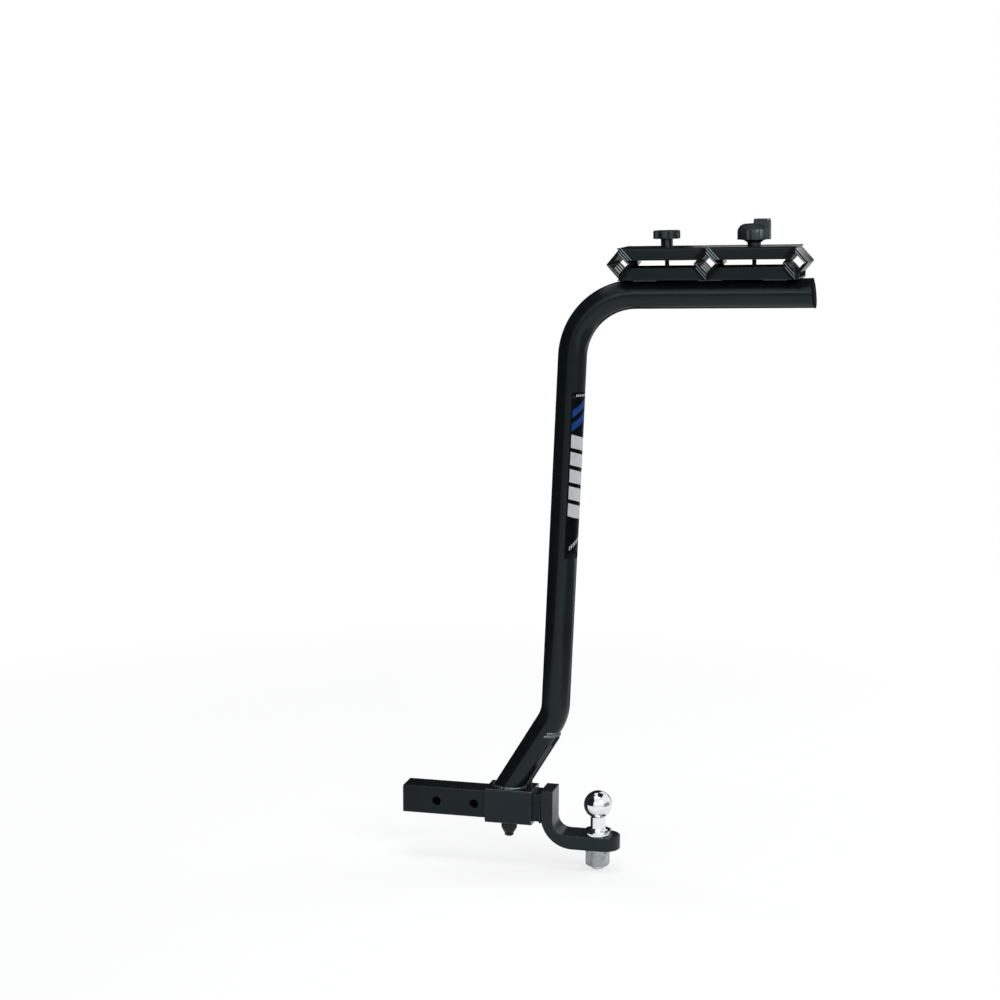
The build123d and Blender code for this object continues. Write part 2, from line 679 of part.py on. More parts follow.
def all_nodes():
    pitch = OPENING_PITCH
    return {
        "shank_tube": shank_tube(),
        "drop_forging": drop_forging(),
        "shank_weld": shank_weld(),
        "tow_ball": tow_ball(),
        "ball_lock_washer": ball_lock_washer(),
        "ball_nut": ball_nut(),
        "mast_sleeve": mast_sleeve(),
        "set_bolt_boss": set_bolt_boss(),
        "set_bolt": set_bolt(),
        "mast_tube": mast_tube(),
        "mast_gusset": mast_gusset(),
        "foot_weld": foot_weld(),
        "arm_end_cap": arm_end_cap(),
        "lower_clamp_bar": lower_clamp_bar(),
        "cradle_welds": cradle_welds(),
        "lower_saddle_front": lower_saddle(-pitch, False, True),
        "lower_saddle_middle": lower_saddle(0.0, True, True),
        "lower_saddle_rear": lower_saddle(pitch, True, False),
        "upper_clamp_bar": upper_clamp_bar(),
        "upper_saddle_front": upper_saddle(-pitch, False, True),
        "upper_saddle_middle": upper_saddle(0.0, True, True),
        "upper_saddle_rear": upper_saddle(pitch, True, False),
        "front_stud": stud(-STUD_X),
        "rear_stud": stud(STUD_X),
        "front_washer": flat_washer(-STUD_X),
        "rear_washer": flat_washer(STUD_X),
        "front_knob": front_knob(),
        "front_knob_insert": knob_insert(-STUD_X),
        "rear_lock_knob": rear_lock_knob(),
        "rear_knob_insert": knob_insert(STUD_X),
        "lock_core": lock_core(),
        "dust_cap": dust_cap(),
        "dust_cap_pin": dust_cap_pin(),
    }


os.makedirs("parts", exist_ok=True)
for name, node in all_nodes().items():
    export_step(node, f"parts/{name}.step")
    print(name, len(node.solids()))
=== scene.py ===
import json
import math

import bmesh
import bpy
from mathutils import Matrix, Vector

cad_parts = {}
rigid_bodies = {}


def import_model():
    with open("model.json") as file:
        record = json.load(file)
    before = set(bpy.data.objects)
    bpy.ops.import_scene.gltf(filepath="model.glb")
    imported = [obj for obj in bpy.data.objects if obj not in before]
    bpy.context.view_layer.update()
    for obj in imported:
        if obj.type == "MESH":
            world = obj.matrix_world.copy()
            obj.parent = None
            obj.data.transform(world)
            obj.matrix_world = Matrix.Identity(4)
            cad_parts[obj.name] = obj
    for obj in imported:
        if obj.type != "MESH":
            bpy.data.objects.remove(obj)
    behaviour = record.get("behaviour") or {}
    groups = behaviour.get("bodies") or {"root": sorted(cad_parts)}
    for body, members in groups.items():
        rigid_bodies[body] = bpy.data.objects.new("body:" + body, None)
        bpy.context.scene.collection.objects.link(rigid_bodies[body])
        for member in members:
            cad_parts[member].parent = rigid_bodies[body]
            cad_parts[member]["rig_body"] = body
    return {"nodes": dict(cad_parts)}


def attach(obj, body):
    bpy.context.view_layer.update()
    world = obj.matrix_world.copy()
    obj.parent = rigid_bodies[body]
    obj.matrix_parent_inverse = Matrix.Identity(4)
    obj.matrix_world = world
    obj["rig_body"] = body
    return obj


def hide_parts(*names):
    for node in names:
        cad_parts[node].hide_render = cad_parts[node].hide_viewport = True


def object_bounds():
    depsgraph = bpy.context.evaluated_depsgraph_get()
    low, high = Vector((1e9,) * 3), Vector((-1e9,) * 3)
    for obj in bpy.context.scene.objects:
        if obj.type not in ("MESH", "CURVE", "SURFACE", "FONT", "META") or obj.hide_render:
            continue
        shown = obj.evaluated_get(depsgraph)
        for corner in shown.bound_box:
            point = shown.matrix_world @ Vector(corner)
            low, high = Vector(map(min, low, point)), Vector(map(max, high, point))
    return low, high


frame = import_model()
nodes = frame["nodes"]
cad_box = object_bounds()
scene = bpy.context.scene


# Camera and studio
# The rack is seen from its left and a little behind, through a long lens. Round it are a pale floor, soft
# lamps, and cards for its shiny faces to mirror: black in front and round the clamp, grey at the rear.
CAMERA_PLACE = Vector((1.063, -3.747, 1.169))
CAMERA_YAW = math.radians(14.25)
CAMERA_PITCH = math.radians(9.03)
CAMERA_ROLL = math.radians(0.13)
FOCAL_PIXELS = 2202
FRAME_PIXELS = 1000
SENSOR = 36.0
FAR_CLIP = 200.0
FLOOR_GAP = 0.002
FLOOR_SIZE = 60.0
SHADOW_REACH = (1.0, 2.2)
SHADOW_SHARE = 0.70
PAPER = (0.86, 0.86, 0.86, 1)
WHITE = (1, 1, 1, 1)
AMBIENT = (0.95, 0.98, 1.0, 1)
AMBIENT_POWER = 0.42
CARD_BLACK = (0.012, 0.014, 0.015, 1)
CARD_GREY = (0.30, 0.34, 0.35, 1)
MID_MAST = Vector((0.25, 0.0, 0.55))


def in_scene(name, data):
    """An object of some data, linked into the scene."""
    thing = bpy.data.objects.new(name, data)
    scene.collection.objects.link(thing)
    return thing


camera_data = bpy.data.cameras.new("camera")
camera_data.sensor_width = SENSOR
camera_data.lens = FOCAL_PIXELS / FRAME_PIXELS * SENSOR
camera_data.clip_end = FAR_CLIP
camera = in_scene("camera", camera_data)
look = Vector((
    -math.sin(CAMERA_YAW) * math.cos(CAMERA_PITCH),
    math.cos(CAMERA_YAW) * math.cos(CAMERA_PITCH),
    -math.sin(CAMERA_PITCH),
))
right = Vector((math.cos(CAMERA_YAW), math.sin(CAMERA_YAW), 0.0))
turn = Matrix((right, right.cross(look), -look)).transposed() @ Matrix.Rotation(CAMERA_ROLL, 3, "Z")
camera.matrix_world = Matrix.Translation(CAMERA_PLACE) @ turn.to_4x4()
scene.camera = camera
scene.view_settings.view_transform = "Standard"


def new_material(name):
    """A new material with an empty node tree, and that tree."""
    material = bpy.data.materials.new(name)
    material.use_nodes = True
    material.node_tree.nodes.clear()
    return material, material.node_tree


def feed(tree, socket, value):
    """Gives a socket a plain value, or the output that is to feed it."""
    if hasattr(value, "is_linked"):
        tree.links.new(value, socket)
    else:
        socket.default_value = value


def add_node(tree, kind, **values):
    """A new node; each value is a setting of it, or else goes to the input of that name."""
    node = tree.nodes.new(kind)
    for label, value in values.items():
        if hasattr(node, label):
            setattr(node, label, value)
        else:
            feed(tree, node.inputs[label.replace("_", " ")], value)
    return node


def first_out(tree, kind, **values):
    """The first output of a new node."""
    return add_node(tree, kind, **values).outputs[0]


def math_node(tree, kind, operation, first, second=None):
    """A plain or vector math node; each input is a value or another node's output."""
    node = add_node(tree, kind, operation=operation)
    for socket, value in zip(node.inputs, (first, second)):
        if value is not None:
            feed(tree, socket, value)
    return node


def calculate(tree, operation, first, second=None):
    """The result of a plain math node."""
    return math_node(tree, "ShaderNodeMath", operation, first, second).outputs[0]


def mix_shaders(tree, mask, first, second):
    """The first shader, and the second one where the mask is one."""
    mix = tree.nodes.new("ShaderNodeMixShader")
    for socket, value in zip(mix.inputs, (mask, first, second)):
        tree.links.new(value, socket)
    return mix.outputs[0]


def sheet(name, corners, material):
    """A flat sheet with four corners."""
    mesh = bpy.data.meshes.new(name)
    mesh.from_pydata(corners, [], [(0, 1, 2, 3)])
    mesh.materials.append(material)
    return in_scene(name, mesh)


floor_material, tree = new_material("floor_paper")
paper = first_out(tree, "ShaderNodeBsdfDiffuse", Color=PAPER)
glow = first_out(tree, "ShaderNodeEmission", Color=WHITE)
path = tree.nodes.new("ShaderNodeLightPath")
place = tree.nodes.new("ShaderNodeTexCoord")
away = math_node(tree, "ShaderNodeVectorMath", "LENGTH", place.outputs["Object"])
fade = first_out(
    tree, "ShaderNodeMapRange", interpolation_type="SMOOTHSTEP", Value=away.outputs["Value"],
    From_Min=SHADOW_REACH[0], From_Max=SHADOW_REACH[1], To_Min=SHADOW_SHARE,
)
seen_white = calculate(tree, "MULTIPLY", path.outputs["Is Camera Ray"], fade)
add_node(tree, "ShaderNodeOutputMaterial", Surface=mix_shaders(tree, seen_white, paper, glow))

floor_z = cad_box[0][2] - FLOOR_GAP
corners = [(x * FLOOR_SIZE, y * FLOOR_SIZE, floor_z) for x, y in ((-1, -1), (1, -1), (1, 1), (-1, 1))]
floor = sheet("floor", corners, floor_material)

world = bpy.data.worlds.new("studio")
scene.world = world
world.use_nodes = True
tree = world.node_tree
tree.nodes.clear()
ambient = first_out(tree, "ShaderNodeBackground", Color=AMBIENT, Strength=AMBIENT_POWER)
white = first_out(tree, "ShaderNodeBackground", Color=WHITE, Strength=1.0)
path = tree.nodes.new("ShaderNodeLightPath")
shiny = calculate(tree, "MAXIMUM", path.outputs["Is Glossy Ray"], path.outputs["Is Transmission Ray"])
seen_white = calculate(tree, "MAXIMUM", path.outputs["Is Camera Ray"], shiny)
add_node(tree, "ShaderNodeOutputWorld", Surface=mix_shaders(tree, seen_white, ambient, white))


def soft_lamp(name, place, width, height, power, mirrored):
    """An area lamp aimed at the middle of the mast; mirrored says whether glossy faces show it."""
    data = bpy.data.lights.new(name, "AREA")
    data.shape = "RECTANGLE"
    data.size = width
    data.size_y = height
    data.energy = power
    lamp = in_scene(name, data)
    lamp.location = place
    lamp.rotation_euler = (MID_MAST - Vector(place)).to_track_quat("-Z", "Y").to_euler()
    lamp.visible_glossy = mirrored


soft_lamp("key_lamp", (2.6, -2.8, 2.4), 1.6, 1.6, 70, True)
soft_lamp("rear_lamp", (2.8, 2.2, 1.6), 1.6, 1.6, 45, False)
soft_lamp("top_lamp", (0.2, -0.4, 3.4), 1.8, 1.8, 45, True)
soft_lamp("front_lamp", (-2.8, 1.6, 2.2), 1.6, 1.6, 30, False)
soft_lamp("strip_lamp", (0.45, -4.2, 1.85), 3.2, 0.3, 12, True)


def plain_material(name, kind, colour):
    """A material with one shader of one colour."""
    material, tree = new_material(name)
    add_node(tree, "ShaderNodeOutputMaterial", Surface=first_out(tree, kind, Color=colour))
    return material


def card(name, low, high, material):
    """A flat card between two corners that share one coordinate; only shiny surfaces see it."""
    across, up = [axis for axis in range(3) if low[axis] != high[axis]]
    corners = []
    for side, end in ((low, low), (high, low), (high, high), (low, high)):
        corner = list(low)
        corner[across] = side[across]
        corner[up] = end[up]
        corners.append(corner)
    piece = sheet(name, corners, material)
    piece.visible_camera = False
    piece.visible_diffuse = False
    piece.visible_shadow = False


black_card = plain_material("black_card", "ShaderNodeBsdfDiffuse", CARD_BLACK)
grey_card = plain_material("grey_card", "ShaderNodeEmission", CARD_GREY)
CARD_GAP = 0.004
CARD_LOW = floor_z + CARD_GAP
CARD_HIGH = 2.4
FRONT_X = -0.9
FRONT_EDGE = 0.2
BACK_Y = 1.5
card("front_card", (FRONT_X, -2.3, CARD_LOW), (FRONT_X, BACK_Y, CARD_HIGH), black_card)
card("back_card", (FRONT_X, BACK_Y, CARD_LOW), (FRONT_EDGE, BACK_Y, CARD_HIGH), black_card)
card("floor_card", (FRONT_X, 0.12, CARD_LOW), (FRONT_EDGE, BACK_Y, CARD_LOW), black_card)
card("low_back_card", (FRONT_EDGE, BACK_Y, CARD_LOW), (0.9, BACK_Y, 0.35), black_card)
card("low_floor_card", (FRONT_EDGE, 0.75, CARD_LOW), (0.9, BACK_Y, CARD_LOW), black_card)
card("rail_card", (FRONT_EDGE, BACK_Y, 1.02), (1.0, BACK_Y, 1.17), black_card)
card("rail_hood", (FRONT_EDGE, 0.1, 1.17), (0.8, 0.9, 1.17), black_card)
card("arm_flag", (0.15, -0.25, 1.3), (0.95, 0.9, 1.3), black_card)
card("rear_floor_card", (1.2, -1.6, CARD_LOW), (3.4, 1.4, CARD_LOW), grey_card)
card("rear_upright_card", (3.4, -1.6, CARD_LOW), (3.4, 1.4, 0.95), grey_card)


# Shank
# Square steel tube at the front of the drawbar, drilled across for the hitch pin and a spare one.
# It is satin black, rubbed at its edges and scuffed along its faces from being slid in and out.
PAINT_GLOSS_TINT = (0.80, 1.0, 1.0, 1)
EDGE_SAMPLES = 6
EDGE_FACING = (0.995, 0.86)
EDGE_GRAIN = (0.42, 0.66)
MERGE_REACH = 2e-6
SHARP_ANGLE = math.radians(32)
FINE_ANGLE = math.radians(24)


def new_group(name, inputs, result, kind):
    """An empty shader node group with float inputs and one result, and what its inputs give."""
    group = bpy.data.node_groups.new(name, "ShaderNodeTree")
    for label, value in inputs.items():
        socket = group.interface.new_socket(
            name=label.replace("_", " "), in_out="INPUT", socket_type="NodeSocketFloat",
        )
        socket.default_value = value
    group.interface.new_socket(name=result, in_out="OUTPUT", socket_type=kind)
    return group, group.nodes.new("NodeGroupInput").outputs


def object_noise(tree, **values):
    """Noise laid out in the object's own coordinates."""
    place = tree.nodes.new("ShaderNodeTexCoord")
    return first_out(tree, "ShaderNodeTexNoise", Vector=place.outputs["Object"], **values)


def share_between(tree, value, low, high):
    """Goes from zero to one while a value goes from low to high."""
    return first_out(tree, "ShaderNodeMapRange", Value=value, From_Min=low, From_Max=high)


def build_peel_group():
    """Fine waviness of a sprayed or moulded skin, over softened edges."""
    inputs = dict(Scale=500.0, Depth=0.0002, Strength=0.3, Edge_Radius=0.0008)
    group, given = new_group("skin_peel", inputs, "Normal", "NodeSocketVector")
    edge = first_out(group, "ShaderNodeBevel", samples=EDGE_SAMPLES, Radius=given["Edge Radius"])
    bump = first_out(
        group, "ShaderNodeBump", Strength=given["Strength"], Distance=given["Depth"],
        Height=object_noise(group, Scale=given["Scale"], Detail=3.0), Normal=edge,
    )
    add_node(group, "NodeGroupOutput", Normal=bump)
    return group


def build_edge_wear_and_highlight_group():
    """Mask of the edges, broken up by noise: rubbed wear, and on the sleeve a painted highlight."""
    inputs = dict(Radius=0.0012, Breakup_Scale=180.0, Amount=1.0)
    group, given = new_group("edge_wear", inputs, "Mask", "NodeSocketFloat")
    edge = first_out(group, "ShaderNodeBevel", samples=EDGE_SAMPLES, Radius=given["Radius"])
    flat = group.nodes.new("ShaderNodeNewGeometry")
    dot = math_node(group, "ShaderNodeVectorMath", "DOT_PRODUCT", edge, flat.outputs["Normal"])
    edge_share = share_between(group, dot.outputs["Value"], *EDGE_FACING)
    noise = object_noise(group, Scale=given["Breakup Scale"], Detail=4.0)
    wear_and_highlight = calculate(group, "MULTIPLY", edge_share, share_between(group, noise, *EDGE_GRAIN))
    add_node(group, "NodeGroupOutput", Mask=calculate(group, "MULTIPLY", wear_and_highlight, given["Amount"]))
    return group


def build_cloud_group():
    """Slow uneven patches, as of dust, handling or plating."""
    inputs = dict(Scale=9.0, Low=0.35, High=0.75)
    group, given = new_group("uneven_patches", inputs, "Mask", "NodeSocketFloat")
    noise = object_noise(group, Scale=given["Scale"], Detail=6.0, Roughness=0.62)
    add_node(group, "NodeGroupOutput", Mask=share_between(group, noise, given["Low"], given["High"]))
    return group


PEEL = build_peel_group()
EDGE_WEAR_AND_HIGHLIGHT = build_edge_wear_and_highlight_group()
CLOUD = build_cloud_group()


def placed(tree, group, **values):
    """The result of a shared group with its own values."""
    return first_out(tree, "ShaderNodeGroup", node_tree=group, **values)


def blend_colour(tree, mask, low, high):
    """Colour that goes from low to high with a mask."""
    mix = add_node(tree, "ShaderNodeMix", data_type="RGBA")
    tree.links.new(mask, mix.inputs[0])
    for socket, value in ((mix.inputs[6], low), (mix.inputs[7], high)):
        feed(tree, socket, value if hasattr(value, "is_linked") else (*value, 1))
    return mix.outputs[2]


def blend_value(tree, mask, low, high):
    """Value that goes from low to high with a mask."""
    return first_out(tree, "ShaderNodeMapRange", Value=mask, To_Min=low, To_Max=high)


def skin_material(name, colour, dusty, wear_and_highlight, rough, peel, metal=0.0, patches=9.0, wear_and_highlight_amount=0.5, ior=1.33):
    """A finished surface: colour with patches, a paler colour on its edges (wear, and on the sleeve a painted
    highlight), and the peel of its skin.
    """
    material, tree = new_material(name)
    cloud = placed(tree, CLOUD, Scale=patches)
    patchy = blend_colour(tree, cloud, colour, dusty)
    surface = add_node(
        tree, "ShaderNodeBsdfPrincipled", IOR=ior, Metallic=metal,
        Base_Color=blend_colour(tree, placed(tree, EDGE_WEAR_AND_HIGHLIGHT, Amount=wear_and_highlight_amount), patchy, wear_and_highlight),
        Roughness=blend_value(tree, cloud, *rough), Normal=placed(tree, PEEL, **peel),
    )
    if not metal:
        surface.inputs["Specular Tint"].default_value = PAINT_GLOSS_TINT
    add_node(tree, "ShaderNodeOutputMaterial", Surface=surface.outputs["BSDF"])
    return material


def finished_copy(node, material, angle=SHARP_ANGLE):
    """Stands in for a CAD node with the same shape, merged and smoothly shaded."""
    mesh = nodes[node].data.copy()
    piece = in_scene(f"{node}_finished", mesh)
    work = bmesh.new()
    work.from_mesh(mesh)
    bmesh.ops.remove_doubles(work, verts=work.verts, dist=MERGE_REACH)
    work.to_mesh(mesh)
    work.free()
    if "custom_normal" in mesh.attributes:
        mesh.attributes.remove(mesh.attributes["custom_normal"])
    mesh.shade_smooth()
    mesh.set_sharp_from_angle(angle=angle)
    mesh.materials.clear()
    mesh.materials.append(material)
    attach(piece, nodes[node]["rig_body"])
    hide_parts(node)
    return piece


shank_paint = skin_material(
    "shank_paint", (0.0040, 0.0054, 0.0060), (0.0075, 0.0090, 0.0092), (0.040, 0.044, 0.044), (0.24, 0.34),
    dict(Scale=300.0, Depth=0.0002, Strength=0.35, Edge_Radius=0.0012), patches=16.0, wear_and_highlight_amount=0.8, ior=1.27,
)
finished_copy("shank_tube", shank_paint)


# Drop forging
# Hot-forged steel plate that drops from the shank and carries the ball. It is painted black, with the
# faint lumps and scale of a forging under the paint.
forging_paint = skin_material(
    "forging_paint", (0.0100, 0.0137, 0.0145), (0.0140, 0.0175, 0.0182), (0.045, 0.050, 0.050), (0.24, 0.36),
    dict(Scale=55.0, Depth=0.0011, Strength=0.35, Edge_Radius=0.0022), patches=26.0, wear_and_highlight_amount=0.7, ior=1.28,
)
finished_copy("drop_forging", forging_paint)


# Weld beads
# Painted fillet welds, each a row of overlapping ripples: round the shank, the mast's foot and the set
# bolt's boss, at the gusset's sides and tip, and in stitches under the clamp.
MM = 0.001
SHANK_SIDE = 50.8 * MM
SHANK_CORNER = 4.0 * MM
FORGING_FRONT = 194.6 * MM
SLEEVE_TOP = 31.75 * MM
TUBE_R = 25.4 * MM
FOOT = Vector((130.6 * MM, 0.0, SLEEVE_TOP))
LOWER_LEAN = math.radians(31.3)
GUSSET_HALF = 3.0 * MM
GUSSET_TOP_Z = 126.0 * MM
LOWER_DIR = Vector((math.sin(LOWER_LEAN), 0.0, math.cos(LOWER_LEAN)))
LOWER_BACK = Vector((math.cos(LOWER_LEAN), 0.0, -math.sin(LOWER_LEAN)))
ARM_RISE = math.radians(1.4)
ARM_ORIGIN = Vector((482.3 * MM, 0.0, 927.28 * MM))
ARM_PLACE = Matrix.Translation(ARM_ORIGIN) @ Matrix.Rotation(-ARM_RISE, 4, "Y")

weld_paint = skin_material(
    "weld_paint", (0.012, 0.014, 0.015), (0.030, 0.033, 0.034), (0.06, 0.06, 0.06), (0.10, 0.20),
    dict(Scale=700.0, Depth=0.0001, Strength=0.3, Edge_Radius=0.0003), patches=60.0, wear_and_highlight_amount=0.2, ior=1.95,
)


def new_modifier_tree(name, **kinds):
    """A geometry tree with inputs of the given kinds and a material, and what those inputs give."""
    tree = bpy.data.node_groups.new(name, "GeometryNodeTree")
    for label, kind in dict(Geometry="Geometry", **kinds, Material="Material").items():
        tree.interface.new_socket(
            name=label.replace("_", " "), in_out="INPUT", socket_type=f"NodeSocket{kind}",
        )
    tree.interface.new_socket(name="Geometry", in_out="OUTPUT", socket_type="NodeSocketGeometry")
    return tree, tree.nodes.new("NodeGroupInput").outputs


def finish_tree(tree, given, geometry):
    """Ends a geometry tree in real, smooth mesh with its material set."""
    real = first_out(tree, "GeometryNodeRealizeInstances", Geometry=geometry)
    smooth = first_out(tree, "GeometryNodeSetShadeSmooth", Geometry=real)
    dress = first_out(tree, "GeometryNodeSetMaterial", Geometry=smooth, Material=given["Material"])
    add_node(tree, "NodeGroupOutput", Geometry=dress)
    return tree


def joined(tree, *parts):
    """Several geometries as one."""
    both = tree.nodes.new("GeometryNodeJoinGeometry")
    for part in parts:
        tree.links.new(part, both.inputs[0])
    return both.outputs[0]


def swept(tree, line, sides, radius):
    """A ring of some sides swept along a line, with closed ends."""
    section = first_out(tree, "GeometryNodeCurvePrimitiveCircle", Resolution=sides, Radius=radius)
    return first_out(tree, "GeometryNodeCurveToMesh", Curve=line, Profile_Curve=section, Fill_Caps=True)


def grown(name, data, tree, **values):
    """Runs a geometry tree on some data once and keeps its result as a plain mesh object."""
    seed = in_scene(f"{name}_seed", data)
    modifier = seed.modifiers.new("grow", "NODES")
    modifier.node_group = tree
    for item in tree.interface.items_tree:
        label = item.name.replace(" ", "_")
        if item.item_type == "SOCKET" and item.in_out == "INPUT" and label in values:
            modifier[item.identifier] = values[label]
    graph = bpy.context.evaluated_depsgraph_get()
    mesh = bpy.data.meshes.new_from_object(seed.evaluated_get(graph))
    bpy.data.objects.remove(seed)
    mesh.name = name
    return in_scene(name, mesh)


BEAD_CORE = 0.78
BEAD_SIDES = 8
RIPPLE_SEGMENTS = 14
RIPPLE_RINGS = 8
RIPPLE_FACING_LOW = (-0.22, -0.22, 0.25)
RIPPLE_FACING_HIGH = (0.22, 0.22, 0.70)
RIPPLE_SPREAD = (0.82, 1.12)
RIPPLE_FLATNESS = 0.82


def build_bead_tree():
    """A round core along a curve, with overlapping flattened ripples that face outward and a little up."""
    tree, given = new_modifier_tree("weld_bead", Spacing="Float", Half_Width="Float", Seed="Int")
    steps = first_out(
        tree, "GeometryNodeResampleCurve", mode="LENGTH", Curve=given["Geometry"], Length=given["Spacing"],
    )
    line = first_out(tree, "GeometryNodeSetCurveNormal", mode="Z_UP", Curve=steps)
    core = swept(tree, line, BEAD_SIDES, calculate(tree, "MULTIPLY", given["Half Width"], BEAD_CORE))
    scatter = first_out(
        tree, "FunctionNodeRandomValue", data_type="FLOAT_VECTOR", Min=RIPPLE_FACING_LOW,
        Max=RIPPLE_FACING_HIGH, Seed=given["Seed"],
    )
    outward = tree.nodes.new("GeometryNodeInputNormal")
    facing = math_node(tree, "ShaderNodeVectorMath", "ADD", outward.outputs[0], scatter)
    spread = add_node(tree, "FunctionNodeRandomValue", data_type="FLOAT", Seed=given["Seed"])
    spread.inputs[2].default_value, spread.inputs[3].default_value = RIPPLE_SPREAD
    wide = calculate(tree, "MULTIPLY", given["Half Width"], spread.outputs[1])
    flat = calculate(tree, "MULTIPLY", wide, RIPPLE_FLATNESS)
    ripples = first_out(
        tree, "GeometryNodeInstanceOnPoints", Points=line,
        Instance=first_out(tree, "GeometryNodeMeshUVSphere", Segments=RIPPLE_SEGMENTS, Rings=RIPPLE_RINGS),
        Rotation=first_out(tree, "FunctionNodeAlignRotationToVector", axis="Z", Vector=facing.outputs[0]),
        Scale=first_out(tree, "ShaderNodeCombineXYZ", X=wide, Y=wide, Z=flat),
    )
    return finish_tree(tree, given, joined(tree, core, ripples))


BEAD = build_bead_tree()


def weld_lines(name, lines, closed=False):
    """Curve data with one straight-pointed spline for each line of points."""
    data = bpy.data.curves.new(name, "CURVE")
    data.dimensions = "3D"
    for points in lines:
        spline = data.splines.new("POLY")
        spline.points.add(len(points) - 1)
        for slot, point in zip(spline.points, points):
            slot.co = (*point, 1.0)
        spline.use_cyclic_u = closed
    return data


def weld_bead(name, lines, body, seed, closed=False, spacing=2.4 * MM, half_width=2.5 * MM,
              stands_for=None, finish=weld_paint):
    """A painted bead along some lines, riding on a body."""
    piece = grown(
        name, weld_lines(name, lines, closed), BEAD,
        Spacing=spacing, Half_Width=half_width, Seed=seed, Material=finish,
    )
    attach(piece, body)
    if stands_for:
        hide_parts(stands_for)


def square_line(x, half, corner, steps=6):
    """Points round a square with rounded corners, across X."""
    points = []
    for quarter, (y_sign, z_sign) in enumerate(((1, 1), (-1, 1), (-1, -1), (1, -1))):
        for step in range(steps + 1):
            angle = math.radians(90 * quarter + 90 * step / steps)
            y = y_sign * (half - corner) + corner * math.cos(angle)
            z = z_sign * (half - corner) + corner * math.sin(angle)
            points.append((x, y, z))
    return points


def level_arc(x, z, x_reach, y_reach, degrees):
    """Points at some angles of a level ellipse."""
    angles = [math.radians(angle) for angle in degrees]
    return [(x + x_reach * math.cos(angle), y_reach * math.sin(angle), z) for angle in angles]


SHANK_BEAD_BACK = 2.0 * MM
SHANK_BEAD_OUT = 1.0 * MM
shank_line = square_line(
    FORGING_FRONT - SHANK_BEAD_BACK, SHANK_SIDE / 2 + SHANK_BEAD_OUT, SHANK_CORNER + SHANK_BEAD_OUT,
)
weld_bead(
    "shank_weld_bead", [shank_line], "drawbar", seed=3, closed=True, half_width=2.3 * MM,
    stands_for="shank_weld", finish=forging_paint,
)

FOOT_RISE = 1.2 * MM
FOOT_OUT = 1.3 * MM
TUBE_CUT_R = TUBE_R / math.cos(LOWER_LEAN)
foot_line = level_arc(
    FOOT.x + FOOT_RISE * math.tan(LOWER_LEAN), SLEEVE_TOP + FOOT_RISE,
    TUBE_CUT_R + FOOT_OUT, TUBE_R + FOOT_OUT, range(0, 360, 5),
)
weld_bead(
    "foot_weld_bead", [foot_line], "rack", seed=5, closed=True, half_width=2.9 * MM,
    stands_for="foot_weld",
)

GUSSET_SPAN = (GUSSET_TOP_Z - SLEEVE_TOP) / LOWER_DIR.z
GUSSET_BEAD_OUT = 0.9 * MM
GUSSET_BEAD_SUNK = 0.1 * MM
GUSSET_BEAD_FIRST = 18
GUSSET_BEAD_STEP = 6
gusset_rises = range(GUSSET_BEAD_FIRST, int(GUSSET_SPAN / MM) + 1, GUSSET_BEAD_STEP)
gusset_lines = []
for side in (-1, 1):
    y = side * (GUSSET_HALF + GUSSET_BEAD_OUT)
    start = FOOT + LOWER_BACK * (TUBE_R - GUSSET_BEAD_SUNK) + Vector((0, y, 0))
    gusset_lines.append([start + LOWER_DIR * (rise * MM) for rise in gusset_rises])
weld_bead("gusset_side_welds", gusset_lines, "rack", seed=7, spacing=1.8 * MM, half_width=1.5 * MM)

TIP_LOW = 7.5 * MM
TIP_HIGH = 12.5 * MM
tip_lines = []
for rise, first, last in ((TIP_LOW, -74, 74), (TIP_HIGH, -70, -38), (TIP_HIGH, 38, 70)):
    level = GUSSET_TOP_Z + rise
    axis_x = FOOT.x + math.tan(LOWER_LEAN) * (level - SLEEVE_TOP)
    tip_lines.append(level_arc(axis_x, level, TUBE_CUT_R, TUBE_R, range(first, last + 1, 4)))
weld_bead("gusset_tip_weld", tip_lines, "rack", seed=11, spacing=3.4 * MM, half_width=3.3 * MM)

STITCH_PITCH = 112.0 * MM
STITCH_HALF = 19.0 * MM
STITCH_OUT = 11.0 * MM
STITCH_SUNK = 1.6 * MM
stitch_lines = []
for x in (-STITCH_PITCH, 0.0, STITCH_PITCH):
    for side in (-1, 1):
        run = (x - STITCH_HALF, x, x + STITCH_HALF)
        ends = [Vector((along, side * STITCH_OUT, TUBE_R - STITCH_SUNK)) for along in run]
        stitch_lines.append([ARM_PLACE @ end for end in ends])
weld_bead(
    "cradle_stitch_welds", stitch_lines, "rack", seed=13, half_width=2.6 * MM,
    stands_for="cradle_welds",
)

BOLT_X = 130.0 * MM
BOSS_WELD_R = 12.4 * MM
BOSS_WELD_Z = -32.6 * MM
BOSS_WELD_POINTS = 48
boss_angles = [360 * step / BOSS_WELD_POINTS for step in range(BOSS_WELD_POINTS)]
boss_line = level_arc(BOLT_X, BOSS_WELD_Z, BOSS_WELD_R, BOSS_WELD_R, boss_angles)
weld_bead(
    "boss_weld_bead", [boss_line], "rack", seed=17, closed=True, half_width=1.3 * MM,
    spacing=1.6 * MM,
)


